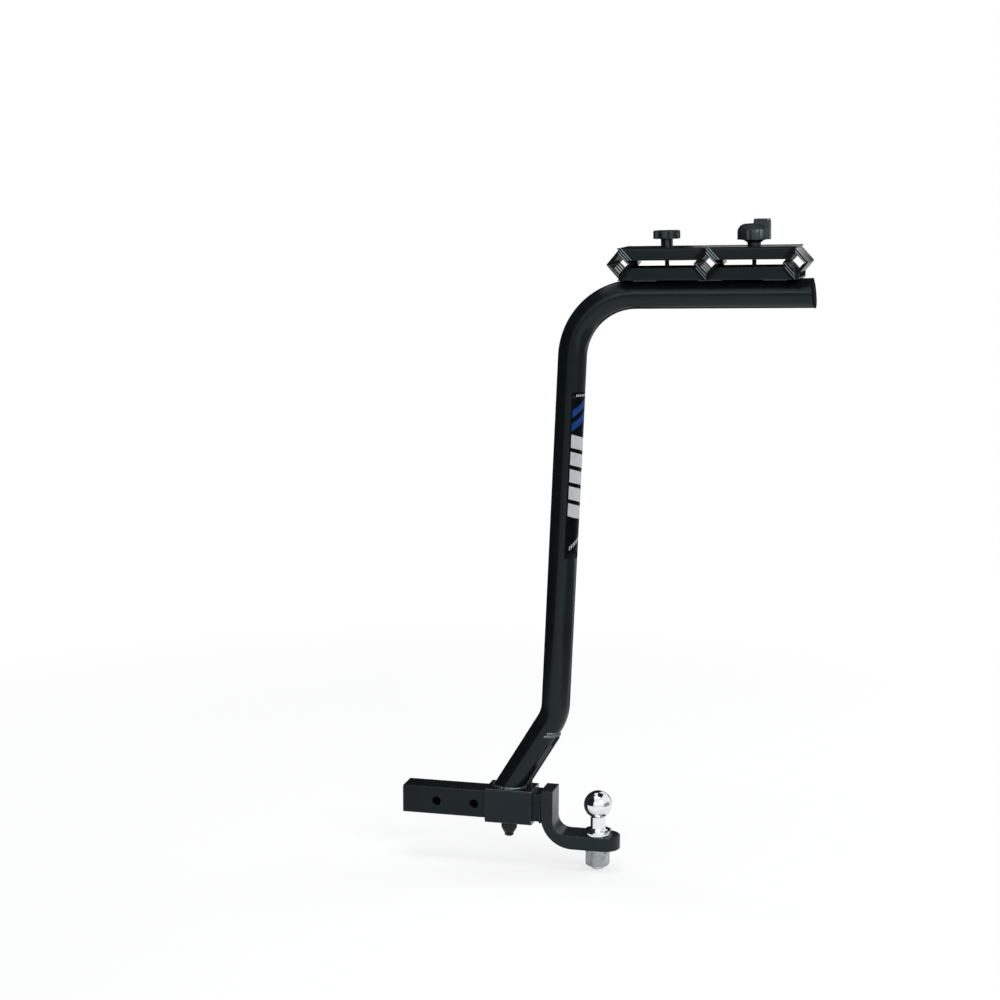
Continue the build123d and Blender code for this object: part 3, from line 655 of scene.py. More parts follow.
# Tow ball
# Forged two-inch ball with a neck, a collar with two wrench flats and a coarse threaded shank, turned
# and chrome plated. The plating is bright, with faint polishing lines and finger marks.
BALL_X = 294.5 * MM
PLATE_TOP = -45.6 * MM
BALL_RISE = 54.0 * MM
BALL_R = 25.4 * MM
NECK_R = 13.3 * MM
COLLAR_R = 25.4 * MM
COLLAR = 7.5 * MM
COLLAR_FLAT = 2.5 * MM
COLLAR_NEAR = 0.2 * MM
COLLAR_ROUND = 1.6 * MM
COLLAR_ROUND_IN = 0.5 * MM
COLLAR_ROUND_DOWN = 0.4 * MM
COLLAR_BREAK = 0.6 * MM
BALL_SHANK_R = 12.7 * MM
BALL_SHANK = 63.8 * MM
BALL_TOP_FLAT = 6.0 * MM
BALL_PITCH = 3.175 * MM
BALL_STEPS = 40
NECK_FILLET = 5.0 * MM
FILLET_STEP = 15
BALL_PLAIN = 22.0 * MM
BALL_UNTHREADED = 27.0 * MM
RUNOUT = 2.0 * MM
THREAD_LIFT = 2.6 * MM
THREAD_DEPTH = 0.42
THREAD_ROOT = 0.36
THREAD_STEPS = 28
THREAD_SIDES = 3

ball_chrome = skin_material(
    "ball_chrome", (0.83, 0.84, 0.85), (0.76, 0.77, 0.79), (0.86, 0.86, 0.87), (0.05, 0.10),
    dict(Scale=60.0, Depth=0.00002, Strength=0.08, Edge_Radius=0.0005), metal=1.0, patches=45.0, wear_and_highlight_amount=0.0,
)


def dressed(name, work, material, angle=SHARP_ANGLE):
    """A smoothly shaded piece made from a work mesh, which is then freed."""
    mesh = bpy.data.meshes.new(name)
    work.to_mesh(mesh)
    work.free()
    mesh.shade_smooth()
    mesh.set_sharp_from_angle(angle=angle)
    mesh.materials.append(material)
    return in_scene(name, mesh)


def bridge(work, low, high):
    """Faces between two closed rings with as many points each."""
    for step in range(len(low)):
        after = (step + 1) % len(low)
        work.faces.new((low[step], low[after], high[after], high[step]))


def turned(name, outline, centre, material, segments=96):
    """A lathe piece about a vertical axis, from radius and height pairs that start and end on the axis."""
    work = bmesh.new()
    rings = []
    for radius, height in outline:
        if radius == 0.0:
            rings.append([work.verts.new(centre + Vector((0, 0, height)))])
            continue
        ring = []
        for step in range(segments):
            angle = 2 * math.pi * step / segments
            offset = Vector((radius * math.cos(angle), radius * math.sin(angle), height))
            ring.append(work.verts.new(centre + offset))
        rings.append(ring)
    for low, high in zip(rings, rings[1:]):
        if len(low) == len(high):
            bridge(work, low, high)
            continue
        tip, ring = (low[0], high) if len(low) == 1 else (high[0], low)
        for step in range(segments):
            work.faces.new((tip, ring[step], ring[(step + 1) % segments]))
    bmesh.ops.recalc_face_normals(work, faces=work.faces)
    return dressed(name, work, material)


def build_thread_tree():
    """A ridge wound round a core: a helix of the screw's pitch with a three-sided section."""
    tree, given = new_modifier_tree(
        "screw_thread", Radius="Float", Pitch="Float", Length="Float", Low="Vector",
    )
    depth = calculate(tree, "MULTIPLY", given["Pitch"], THREAD_DEPTH)
    inner = calculate(tree, "SUBTRACT", given["Radius"], depth)
    helix = first_out(
        tree, "GeometryNodeCurveSpiral", Resolution=THREAD_STEPS, Start_Radius=inner, End_Radius=inner,
        Rotations=calculate(tree, "DIVIDE", given["Length"], given["Pitch"]), Height=given["Length"],
    )
    line = first_out(tree, "GeometryNodeSetCurveNormal", mode="Z_UP", Curve=helix)
    ridge = swept(tree, line, THREAD_SIDES, depth)
    moved = first_out(tree, "GeometryNodeTransform", Geometry=ridge, Translation=given["Low"])
    return finish_tree(tree, given, joined(tree, given["Geometry"], moved))


THREAD = build_thread_tree()


def threaded(core, radius, pitch, low, length, material):
    """The core with its thread wound on, as one plain mesh under the core's name."""
    name = core.name
    mesh = core.data
    bpy.data.objects.remove(core)
    piece = grown(
        name, mesh, THREAD,
        Radius=radius, Pitch=pitch, Length=length, Low=low, Material=material,
    )
    piece.data.set_sharp_from_angle(angle=SHARP_ANGLE)
    return piece


ball_outline = [(0.0, math.sqrt(BALL_R ** 2 - BALL_TOP_FLAT ** 2))]
top_angle = math.degrees(math.asin(BALL_TOP_FLAT / BALL_R))
neck_angle = 180 - math.degrees(math.asin(NECK_R / BALL_R))
for step in range(BALL_STEPS + 1):
    angle = math.radians(top_angle + (neck_angle - top_angle) * step / BALL_STEPS)
    ball_outline.append((BALL_R * math.sin(angle), BALL_R * math.cos(angle)))
collar_top = COLLAR - BALL_RISE
ball_outline.append((NECK_R, collar_top + NECK_FILLET))
for degrees in range(FILLET_STEP, 91, FILLET_STEP):
    angle = math.radians(degrees)
    ball_outline.append((
        NECK_R + NECK_FILLET * (1 - math.cos(angle)),
        collar_top + NECK_FILLET * (1 - math.sin(angle)),
    ))
root_r = BALL_SHANK_R - THREAD_ROOT * BALL_PITCH
shank_low = -BALL_RISE - BALL_SHANK
ball_outline += [
    (COLLAR_R - COLLAR_ROUND, collar_top),
    (COLLAR_R - COLLAR_ROUND_IN, collar_top - COLLAR_ROUND_DOWN),
    (COLLAR_R, collar_top - COLLAR_ROUND),
    (COLLAR_R, -BALL_RISE + COLLAR_BREAK),
    (COLLAR_R - COLLAR_BREAK, -BALL_RISE),
    (BALL_SHANK_R, -BALL_RISE),
    (BALL_SHANK_R, -BALL_RISE - BALL_PLAIN),
    (root_r, -BALL_RISE - BALL_PLAIN - RUNOUT),
    (root_r, shank_low + RUNOUT),
    (root_r - RUNOUT, shank_low),
    (0.0, shank_low),
]
ball_centre = Vector((BALL_X, 0.0, PLATE_TOP + BALL_RISE))
ball = turned("tow_ball_turned", ball_outline, ball_centre, ball_chrome, segments=128)
flat_reach = COLLAR_R - COLLAR_FLAT
for vertex in ball.data.vertices:
    level = vertex.co.z - PLATE_TOP
    if -COLLAR_NEAR < level < COLLAR + COLLAR_NEAR:
        offset = vertex.co.x - BALL_X
        vertex.co.x = BALL_X + max(-flat_reach, min(flat_reach, offset))
thread_low = ball_centre + Vector((0, 0, shank_low + THREAD_LIFT))
ball = threaded(ball, BALL_SHANK_R, BALL_PITCH, thread_low, BALL_SHANK - BALL_UNTHREADED, ball_chrome)
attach(ball, "drawbar")
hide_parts("tow_ball")


# Ball nut and lock washer
# Plated steel: a split spring washer and a heavy hexagon nut pulled up under the plate.
# The plating is a dull blue grey, brighter where the spanner has been.
nut_zinc = skin_material(
    "nut_zinc", (0.44, 0.46, 0.47), (0.22, 0.24, 0.25), (0.62, 0.63, 0.64), (0.14, 0.28),
    dict(Scale=420.0, Depth=0.0001, Strength=0.5, Edge_Radius=0.0006), metal=1.0, patches=90.0,
)
finished_copy("ball_nut", nut_zinc, angle=FINE_ANGLE)
finished_copy("ball_lock_washer", nut_zinc, angle=FINE_ANGLE)


# Mast sleeve and set bolt
# Heavy square tube that slides on the shank, with a welded boss and a set bolt underneath that presses
# on the shank. Its coat is glossier than the mast's, with a painted highlight in pale grey along its edges.
# The bolt is black zinc.
BOLT_R = 4.76 * MM
BOLT_PITCH = 1.5875 * MM
BOSS_LOW = -54.75 * MM
BOLT_GAP = 0.4 * MM
BOLT_HEAD = 6.1 * MM
BOLT_HEAD_R = 7.15 * MM
SHANK_UNDER = -25.4 * MM
BOLT_THREAD_LIFT = 1.2 * MM
BOLT_UNTHREADED = 2.6 * MM
BOLT_TIP_BREAK = 0.9 * MM
BOLT_NECK = 0.2 * MM
BOLT_FACE_IN = 0.3 * MM
BOLT_FACE_DEEP = 0.5 * MM
HEX_CORNER = 1.155
HEAD_PROFILE = ((HEX_CORNER, 0.2), (HEX_CORNER, 0.88), (1.06, 1.0), (0.78, 1.0))
HEAD_TURN = 14

POWDER_PEEL = dict(Scale=640.0, Depth=0.0001, Strength=0.3, Edge_Radius=0.0012)
rack_paint = skin_material(
    "rack_paint", (0.0036, 0.0050, 0.0056), (0.0062, 0.0078, 0.0084), (0.030, 0.033, 0.034), (0.17, 0.23),
    POWDER_PEEL, patches=14.0, wear_and_highlight_amount=0.4,
)
black_zinc = skin_material(
    "black_zinc", (0.014, 0.015, 0.017), (0.026, 0.027, 0.029), (0.12, 0.12, 0.125), (0.28, 0.42),
    dict(Scale=900.0, Depth=0.00006, Strength=0.4, Edge_Radius=0.0004), metal=1.0, patches=120.0,
)
# The pale grey edge colour, laid on at full amount, is a painted highlight along the sleeve's edges.
sleeve_paint = skin_material(
    "sleeve_paint", (0.0034, 0.0048, 0.0078), (0.0060, 0.0076, 0.0110), (0.150, 0.160, 0.170), (0.09, 0.13),
    dict(POWDER_PEEL, Strength=0.2), patches=14.0, wear_and_highlight_amount=1.0,
)
finished_copy("mast_sleeve", sleeve_paint)
finished_copy("set_bolt_boss", rack_paint)

bolt_seat = BOSS_LOW - BOLT_GAP
bolt_root = BOLT_R - THREAD_ROOT * BOLT_PITCH
bolt_tip = SHANK_UNDER - BOLT_GAP
bolt_outline = [
    (0.0, bolt_tip),
    (bolt_root - BOLT_TIP_BREAK, bolt_tip),
    (bolt_root, bolt_tip - BOLT_TIP_BREAK),
    (bolt_root, bolt_seat + BOLT_NECK),
    (BOLT_R + BOLT_NECK, bolt_seat),
    (BOLT_HEAD_R - BOLT_FACE_IN, bolt_seat),
    (BOLT_HEAD_R, bolt_seat - BOLT_FACE_DEEP),
    (0.0, bolt_seat - BOLT_FACE_DEEP),
]
bolt = turned("set_bolt_turned", bolt_outline, Vector((BOLT_X, 0.0, 0.0)), black_zinc, segments=48)
head_work = bmesh.new()
head_work.from_mesh(bolt.data)
head_rings = []
for share, level in HEAD_PROFILE:
    z = bolt_seat - level * BOLT_HEAD
    reach = share * BOLT_HEAD_R
    ring = []
    for step in range(6):
        angle = math.radians(60 * step + HEAD_TURN)
        ring.append(head_work.verts.new((BOLT_X + reach * math.cos(angle), reach * math.sin(angle), z)))
    head_rings.append(ring)
head_work.faces.new(head_rings[0])
for low_ring, high_ring in zip(head_rings, head_rings[1:]):
    bridge(head_work, low_ring, high_ring)
head_work.faces.new(list(reversed(head_rings[-1])))
bmesh.ops.recalc_face_normals(head_work, faces=head_work.faces)
head_work.to_mesh(bolt.data)
head_work.free()
thread_low = Vector((BOLT_X, 0.0, bolt_seat + BOLT_THREAD_LIFT))
thread_length = bolt_tip - bolt_seat - BOLT_UNTHREADED
bolt = threaded(bolt, BOLT_R, BOLT_PITCH, thread_low, thread_length, black_zinc)
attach(bolt, "set_bolt")
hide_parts("set_bolt")


# Mast
# One length of two-inch steel tube, bent twice on a former: up from the sleeve, then over into the arm.
# Its lower end is saw cut to stand on the sleeve. It has a semi-gloss black powder coat.
KNEE_Z = 170.0 * MM
MAST_LEAN = math.radians(2.37)
VERTEX_Z = 921.5 * MM
ARM_END_X = 659.5 * MM
KNEE_R = 76.2 * MM
SHOULDER_R = 114.3 * MM
SAW_LEAN = math.radians(5.0)
CUT_LEAN = math.pi / 2 - ARM_RISE - SAW_LEAN
CAP_FLANGE = 2.5 * MM
TUBE_SIDES = 112
BEND_STEPS = 30
TUBE_OVERRUN = 6.0 * MM
FOOT_SPARE = 0.2 * MM
FOOT_NEAR = 0.1 * MM
SECOND_BEND_FROM = 1.5
TUBE_SHARP_ANGLE = math.radians(40)

knee = FOOT + LOWER_DIR * ((KNEE_Z - SLEEVE_TOP) / LOWER_DIR.z)
MAST_DIR = Vector((math.sin(MAST_LEAN), 0.0, math.cos(MAST_LEAN)))
vertex = knee + MAST_DIR * ((VERTEX_Z - KNEE_Z) / MAST_DIR.z)
ARM_DIR = Vector((math.cos(ARM_RISE), 0.0, math.sin(ARM_RISE)))
arm_end = vertex + ARM_DIR * ((ARM_END_X - vertex.x) / ARM_DIR.x)
cut_normal = Vector((math.sin(CUT_LEAN), 0.0, math.cos(CUT_LEAN)))
cut_point = arm_end - cut_normal * CAP_FLANGE


def build_tube_tree():
    """A bent tube: a run of straights, each corner rounded to its own radius, swept with a circle."""
    tree, given = new_modifier_tree(
        "bent_tube", Tube_Radius="Float", First_Bend="Float", Second_Bend="Float", Bend_Steps="Int",
    )
    number = tree.nodes.new("GeometryNodeInputIndex")
    second = calculate(tree, "GREATER_THAN", number.outputs[0], SECOND_BEND_FROM)
    change = calculate(tree, "SUBTRACT", given["Second Bend"], given["First Bend"])
    radius = calculate(tree, "ADD", given["First Bend"], calculate(tree, "MULTIPLY", second, change))
    bend = first_out(
        tree, "GeometryNodeFilletCurve", mode="POLY", Curve=given["Geometry"], Count=given["Bend Steps"],
        Radius=radius,
    )
    line = first_out(tree, "GeometryNodeSetCurveNormal", mode="MINIMUM_TWIST", Curve=bend)
    return finish_tree(tree, given, swept(tree, line, TUBE_SIDES, given["Tube Radius"]))


foot_reach = TUBE_R * math.tan(LOWER_LEAN) + FOOT_SPARE
mast_line = [FOOT - LOWER_DIR * foot_reach, knee, vertex, arm_end + ARM_DIR * TUBE_OVERRUN]
mast = grown(
    "mast_bent_tube", weld_lines("mast_line", [mast_line]), build_tube_tree(), Tube_Radius=TUBE_R,
    First_Bend=KNEE_R, Second_Bend=SHOULDER_R, Bend_Steps=BEND_STEPS, Material=rack_paint,
)
for vert in mast.data.vertices:
    if vert.co.z < SLEEVE_TOP + FOOT_NEAR:
        vert.co += LOWER_DIR * ((SLEEVE_TOP - vert.co.z) / LOWER_DIR.z)
    beyond = (vert.co - cut_point).dot(cut_normal)
    if beyond > -TUBE_OVERRUN:
        vert.co -= ARM_DIR * (beyond / ARM_DIR.dot(cut_normal))
mast.data.set_sharp_from_angle(angle=TUBE_SHARP_ANGLE)
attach(mast, "rack")
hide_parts("mast_tube")


# Gusset
# A slim steel rib welded up the back of the mast's lower leg, so that the foot doesn't tear.
# It has the same powder coat as the tube.
finished_copy("mast_gusset", rack_paint)


# Mast label
# A vinyl label wrapped round the rear of the mast. It carries plain stripes and blocks only: short
# ticks at both ends, two blue chevrons, and a column of slanted pale bars on black.
LABEL_LOW = 458.6 * MM
LABEL_HIGH = 753.4 * MM
LABEL_HALF_ANGLE = 73
LABEL_PROUD = 0.18 * MM
LABEL_THICK = 0.16 * MM
LABEL_COLUMNS = 40
LABEL_ROWS = 24
BAR_ZONE = (0.25, 0.765)
BAR_COUNT = 5
BAR_SHARES = (0.12, 0.88)
BAR_SLANT = 0.055
CHEVRON_ZONE = (0.83, 0.99)
CHEVRON_COUNT = 2
CHEVRON_SHARES = (0.14, 0.72)
CHEVRON_BEND = 0.16
PRINT_HALF = 0.46
TICK_COUNT = 17.0
TICK_SHARES = (0.2, 0.7)
TICK_HALF = 0.40
LOW_TICKS = (0.110, 0.135)
HIGH_TICKS = (0.975, 0.988)
LABEL_BLACK = (0.0012, 0.0015, 0.0018)
LABEL_BLACK_WORN = (0.0026, 0.0030, 0.0034)
LABEL_PALE = (0.44, 0.45, 0.46)
LABEL_PALE_WORN = (0.36, 0.37, 0.38)
LABEL_BLUE = (0.008, 0.038, 0.155)
LABEL_ROUGH = (0.22, 0.34)
LABEL_IOR = 1.12


def between(tree, value, low, high):
    """One where the value lies between two limits."""
    above = calculate(tree, "GREATER_THAN", value, low)
    return calculate(tree, "MULTIPLY", above, calculate(tree, "LESS_THAN", value, high))


def stripes(tree, value, zone, count, shares, mask):
    """A number of equal stripes that fill a zone within a mask, each between two shares of its pitch."""
    along = calculate(tree, "SUBTRACT", value, zone[0])
    phase = calculate(tree, "FRACT", calculate(tree, "DIVIDE", along, (zone[1] - zone[0]) / count))
    filled = calculate(tree, "MULTIPLY", between(tree, phase, *shares), between(tree, value, *zone))
    return calculate(tree, "MULTIPLY", filled, mask)


label_vinyl, tree = new_material("label_vinyl")
chart = first_out(tree, "ShaderNodeUVMap", uv_map="label")
axes = add_node(tree, "ShaderNodeSeparateXYZ", Vector=chart)
across = axes.outputs["X"]
up_label = axes.outputs["Y"]
from_middle = calculate(tree, "ABSOLUTE", calculate(tree, "SUBTRACT", across, 0.5))
slanted = calculate(tree, "ADD", up_label, calculate(tree, "MULTIPLY", across, BAR_SLANT))
bent = calculate(tree, "ADD", up_label, calculate(tree, "MULTIPLY", from_middle, CHEVRON_BEND))
in_print = calculate(tree, "LESS_THAN", from_middle, PRINT_HALF)
bars = stripes(tree, slanted, BAR_ZONE, BAR_COUNT, BAR_SHARES, in_print)
chevrons = stripes(tree, bent, CHEVRON_ZONE, CHEVRON_COUNT, CHEVRON_SHARES, in_print)
tick_rows = calculate(tree, "ADD", between(tree, bent, *LOW_TICKS), between(tree, up_label, *HIGH_TICKS))
tick_phase = calculate(tree, "FRACT", calculate(tree, "MULTIPLY", across, TICK_COUNT))
ticks = calculate(tree, "MULTIPLY", between(tree, tick_phase, *TICK_SHARES), tick_rows)
ticks = calculate(tree, "MULTIPLY", ticks, calculate(tree, "LESS_THAN", from_middle, TICK_HALF))
print_cloud = placed(tree, CLOUD, Scale=70.0)
black = blend_colour(tree, print_cloud, LABEL_BLACK, LABEL_BLACK_WORN)
pale = blend_colour(tree, print_cloud, LABEL_PALE, LABEL_PALE_WORN)
printed = blend_colour(tree, chevrons, black, LABEL_BLUE)
printed = blend_colour(tree, bars, printed, pale)
printed = blend_colour(tree, ticks, printed, pale)
surface = first_out(
    tree, "ShaderNodeBsdfPrincipled", IOR=LABEL_IOR, Base_Color=printed,
    Roughness=blend_value(tree, print_cloud, *LABEL_ROUGH),
    Normal=placed(tree, PEEL, Scale=420.0, Depth=0.00005, Strength=0.3, Edge_Radius=0.0002),
)
add_node(tree, "ShaderNodeOutputMaterial", Surface=surface)

work = bmesh.new()
chart_layer = work.loops.layers.uv.new("label")
mast_side = Vector((math.cos(MAST_LEAN), 0.0, -math.sin(MAST_LEAN)))
grid = []
for row in range(LABEL_ROWS + 1):
    z = LABEL_LOW + (LABEL_HIGH - LABEL_LOW) * row / LABEL_ROWS
    axis_point = knee + MAST_DIR * ((z - KNEE_Z) / MAST_DIR.z)
    line = []
    for column in range(LABEL_COLUMNS + 1):
        angle = math.radians(LABEL_HALF_ANGLE * (2 * column / LABEL_COLUMNS - 1))
        radial = mast_side * math.cos(angle) + Vector((0, math.sin(angle), 0))
        line.append(work.verts.new(axis_point + radial * (TUBE_R + LABEL_PROUD)))
    grid.append(line)
for row in range(LABEL_ROWS):
    for column in range(LABEL_COLUMNS):
        around = ((row, column), (row, column + 1), (row + 1, column + 1), (row + 1, column))
        face = work.faces.new([grid[r][c] for r, c in around])
        for loop, (r, c) in zip(face.loops, around):
            loop[chart_layer].uv = (c / LABEL_COLUMNS, r / LABEL_ROWS)
label = dressed("mast_label", work, label_vinyl)
wall = label.modifiers.new("thickness", "SOLIDIFY")
wall.thickness = LABEL_THICK
wall.offset = -1.0
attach(label, "rack")


# Arm end cap
# Black plastic plug pushed into the tube's end, with a thin flange over the saw cut.
# It is duller than the paint, with the faint grain of the mould.
cap_plastic = skin_material(
    "cap_plastic", (0.0030, 0.0034, 0.0036), (0.0052, 0.0056, 0.0058), (0.014, 0.014, 0.014), (0.62, 0.76),
    dict(Scale=1200.0, Depth=0.00008, Strength=0.4, Edge_Radius=0.0008), patches=30.0, ior=1.06,
)
finished_copy("arm_end_cap", cap_plastic)


# Clamp bars
# Two pressed steel channels with their webs outside. V notches in their flanges face each other and
# hold the saddles. The lower one is stitch welded to the arm, the upper one lifts on two studs.
# Painted light: the lower bar has a lighter copy of the rack paint, so that it looks brighter than the upper
# bar.
lower_bar_paint = skin_material(
    "lower_bar_paint", (0.0088, 0.0116, 0.0132), (0.0125, 0.0152, 0.0168), (0.030, 0.033, 0.034),
    (0.18, 0.26), POWDER_PEEL, patches=14.0, wear_and_highlight_amount=0.4, ior=1.19,
)
finished_copy("lower_clamp_bar", lower_bar_paint)
finished_copy("upper_clamp_bar", rack_paint)


# Saddles
# Six glossy black vinyl mouldings, pressed into the notches in pairs to make the diamond openings.
# Each is a thick V with ribs across its floor and a ridged lip that laps the flange beside the notch.
PLATE = 3.0 * MM
BAR_TOP = 80.8 * MM
CRADLE_WIDTH = 96.0 * MM
SADDLE_SLOPE = math.radians(49.0)
SADDLE_DEPTH = 24.5 * MM
SADDLE_THICK = 4.5 * MM
SADDLE_CROWN = 0.5 * MM
LIP_TOP = 18.0 * MM
LIP_REACH = 6.0 * MM
LIP_THICK = 0.8 * MM
RIDGE_PROFILE = ((-0.85 * MM, 0.0), (-0.65 * MM, 0.62 * MM), (0.65 * MM, 0.0))
RIDGE_PLACES = (-2.9 * MM, 1.0 * MM, 4.9 * MM)
LOWER_RIDGE_MARK = 0.68
UPPER_RIDGE_MARK = 0.42
RIB_PITCH = 25.0 * MM
RIB_COUNT = 4
RIB_WIDE = 11.0 * MM
RIB_PROUD = 1.0 * MM
RIB_SUNK = 0.6 * MM
RIB_CREST = 0.75
LIP_LAP = 0.4 * MM
SADDLE_SHARP_ANGLE = math.radians(28)
MATT_GLOSS = 0.10
FLOOR_MARK = 0.88
RIB_MARK = 0.55
OPENING_PITCH = 150.0 * MM

saddle_vinyl = skin_material(
    "saddle_vinyl", (0.0040, 0.0046, 0.0048), (0.0080, 0.0088, 0.0090), (0.016, 0.017, 0.017), (0.08, 0.15),
    dict(Scale=340.0, Depth=0.0001, Strength=0.35, Edge_Radius=0.0002), patches=75.0, wear_and_highlight_amount=0.5, ior=1.42,
)
# Painted shade: a mark on each face turns down the vinyl's reflection on the end faces, the floor between the
# ribs, the ribs and the ridges, so that they look darker.
tree = saddle_vinyl.node_tree
matt_end = add_node(tree, "ShaderNodeAttribute", attribute_name="matt_end")
surface = next(node for node in tree.nodes if node.type == "BSDF_PRINCIPLED")
gloss = blend_value(tree, matt_end.outputs["Fac"], 1.0, MATT_GLOSS)
tree.links.new(gloss, surface.inputs["Specular IOR Level"])


def inner_line(side, proud=0.0, steps=8):
    """Points of a leg's crowned inner face, from its tip to the root of the V."""
    thick_level = SADDLE_THICK / math.sin(SADDLE_SLOPE)
    tip_x = SADDLE_DEPTH / math.tan(SADDLE_SLOPE) - thick_level
    root_z = SADDLE_THICK / math.cos(SADDLE_SLOPE)
    points = []
    for step in range(steps + 1):
        share = step / steps
        crown = SADDLE_CROWN * 4 * share * (1 - share) + proud
        x = tip_x * (1 - share) - crown * math.sin(SADDLE_SLOPE)
        z = SADDLE_DEPTH + (root_z - SADDLE_DEPTH) * share + crown * math.cos(SADDLE_SLOPE)
        points.append((side * max(x, 0.0), min(z, SADDLE_DEPTH)))
    return points


def add_prism(work, outline, y_low, y_high, inner=()):
    """Adds a bar of one outline across Y. Its faces carry how far painted shade dulls their gloss: ends
    fully, inner sides less.
    """
    front = [work.verts.new((x, y_low, z)) for x, z in outline]
    back = [work.verts.new((x, y_high, z)) for x, z in outline]
    marks = work.faces.layers.float["matt_end"]
    for ring in (front, list(reversed(back))):
        work.faces.new(ring)[marks] = 1.0
    for step in range(len(outline)):
        after = (step + 1) % len(outline)
        side_face = work.faces.new((front[after], front[step], back[step], back[after]))
        if step in inner:
            side_face[marks] = FLOOR_MARK


def add_ridge(work, side, place, y_face, outward, top, lean):
    """Adds a saw-toothed ridge on an end face, along one leg of the V; lean is its steep side."""
    low_line = []
    high_line = []
    for off_crest, height in RIDGE_PROFILE:
        reach = place + lean * off_crest
        y = y_face + outward * height
        low = max(-reach / math.cos(SADDLE_SLOPE), -PLATE)
        for line, z in ((low_line, low), (high_line, top)):
            x = z / math.tan(SADDLE_SLOPE) + reach / math.sin(SADDLE_SLOPE)
            line.append(work.verts.new((side * x, y, z)))
    marks = work.faces.layers.float["matt_end"]
    # Painted shade on the ridges: their gloss is dulled, more on the lower saddles than on the upper ones.
    mark = UPPER_RIDGE_MARK if lean > 0 else LOWER_RIDGE_MARK
    for step in range(len(RIDGE_PROFILE) - 1):
        around = (low_line[step], low_line[step + 1], high_line[step + 1], high_line[step])
        work.faces.new(around)[marks] = mark
    work.faces.new((low_line[0], high_line[0], high_line[-1], low_line[-1]))
    work.faces.new(low_line)
    work.faces.new(high_line)


def lip_outline(side, near, far):
    """A band beside the notch between two distances from its edge."""
    points = []
    for reach, order in ((near, 1), (far, -1)):
        level = reach / math.sin(SADDLE_SLOPE)
        ends = [
            (side * (level - PLATE / math.tan(SADDLE_SLOPE)), -PLATE),
            (side * (LIP_TOP / math.tan(SADDLE_SLOPE) + level), LIP_TOP),
        ]
        points += ends[::order]
    return points


def build_rib_tree():
    """A row of copies of one rib across the saddle."""
    tree, given = new_modifier_tree("saddle_ribs", Count="Int", Pitch="Vector", Start="Vector")
    row = first_out(
        tree, "GeometryNodeMeshLine", Count=given["Count"], Start_Location=given["Start"],
        Offset=given["Pitch"],
    )
    copies = first_out(tree, "GeometryNodeInstanceOnPoints", Points=row, Instance=given["Geometry"])
    return finish_tree(tree, given, copies)


RIBS = build_rib_tree()
rib_work = bmesh.new()
high_line = inner_line(1, RIB_PROUD) + inner_line(-1, RIB_PROUD)[::-1][1:]
base_line = inner_line(1, -RIB_SUNK) + inner_line(-1, -RIB_SUNK)[::-1][1:]
for step in range(len(high_line) - 1):
    corners = []
    for y in (-RIB_WIDE / 2, RIB_WIDE / 2):
        for line, share in ((base_line, 1.0), (high_line, RIB_CREST)):
            corners += [rib_work.verts.new((x, y * share, z)) for x, z in line[step:step + 2]]
    sides = [(0, 1, 3, 2), (5, 4, 6, 7), (2, 3, 7, 6), (1, 0, 4, 5)]
    if step == 0:
        sides.append((0, 2, 6, 4))
    if step == len(high_line) - 2:
        sides.append((1, 5, 7, 3))
    for side_face in sides:
        rib_work.faces.new([corners[slot] for slot in side_face])
bmesh.ops.remove_doubles(rib_work, verts=rib_work.verts, dist=MERGE_REACH)
bmesh.ops.recalc_face_normals(rib_work, faces=rib_work.faces)
rib_mesh = bpy.data.meshes.new("saddle_rib")
rib_work.to_mesh(rib_mesh)
rib_work.free()
rib_row = grown(
    "saddle_rib_row", rib_mesh, RIBS, Count=RIB_COUNT, Pitch=Vector((0, RIB_PITCH, 0)),
    Start=Vector((0, -RIB_PITCH * (RIB_COUNT - 1) / 2, 0)), Material=saddle_vinyl,
)
rib_row_mesh = rib_row.data
bpy.data.objects.remove(rib_row)


def moulded_saddle(node, place, front_lip, rear_lip, lean):
    """One saddle in its place, with its ribs and its ridged lips."""
    work = bmesh.new()
    work.faces.layers.float.new("matt_end")
    half = CRADLE_WIDTH / 2 + LIP_THICK
    rim_x = SADDLE_DEPTH / math.tan(SADDLE_SLOPE)
    outer = [(-rim_x, SADDLE_DEPTH), (0.0, 0.0), (rim_x, SADDLE_DEPTH)]
    outline = outer + inner_line(1) + inner_line(-1)[::-1][1:]
    add_prism(work, outline, -half, half, inner=range(len(outer), len(outline) - 1))
    lips = ([-1] if front_lip else []) + ([1] if rear_lip else [])
    for side in lips:
        for y_in, y_out in ((-CRADLE_WIDTH / 2, -half), (CRADLE_WIDTH / 2, half)):
            add_prism(work, lip_outline(side, -LIP_LAP, LIP_REACH), min(y_in, y_out), max(y_in, y_out))
    for side in (-1, 1):
        for place_out in RIDGE_PLACES if lean > 0 else RIDGE_PLACES[:2]:
            on_lip = place_out > RIDGE_PLACES[0]
            if on_lip and side not in lips:
                continue
            top = LIP_TOP if on_lip else SADDLE_DEPTH
            for outward in (-1, 1):
                add_ridge(work, side, place_out, outward * half, outward, top, lean)
    bmesh.ops.recalc_face_normals(work, faces=work.faces)
    moulding_faces = len(work.faces)
    work.from_mesh(rib_row_mesh)
    marks = work.faces.layers.float["matt_end"]
    for face in list(work.faces)[moulding_faces:]:
        face[marks] = RIB_MARK
    piece = dressed(f"{node}_moulded", work, saddle_vinyl, SADDLE_SHARP_ANGLE)
    piece.data.transform(place)
    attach(piece, nodes[node]["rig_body"])
    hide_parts(node)


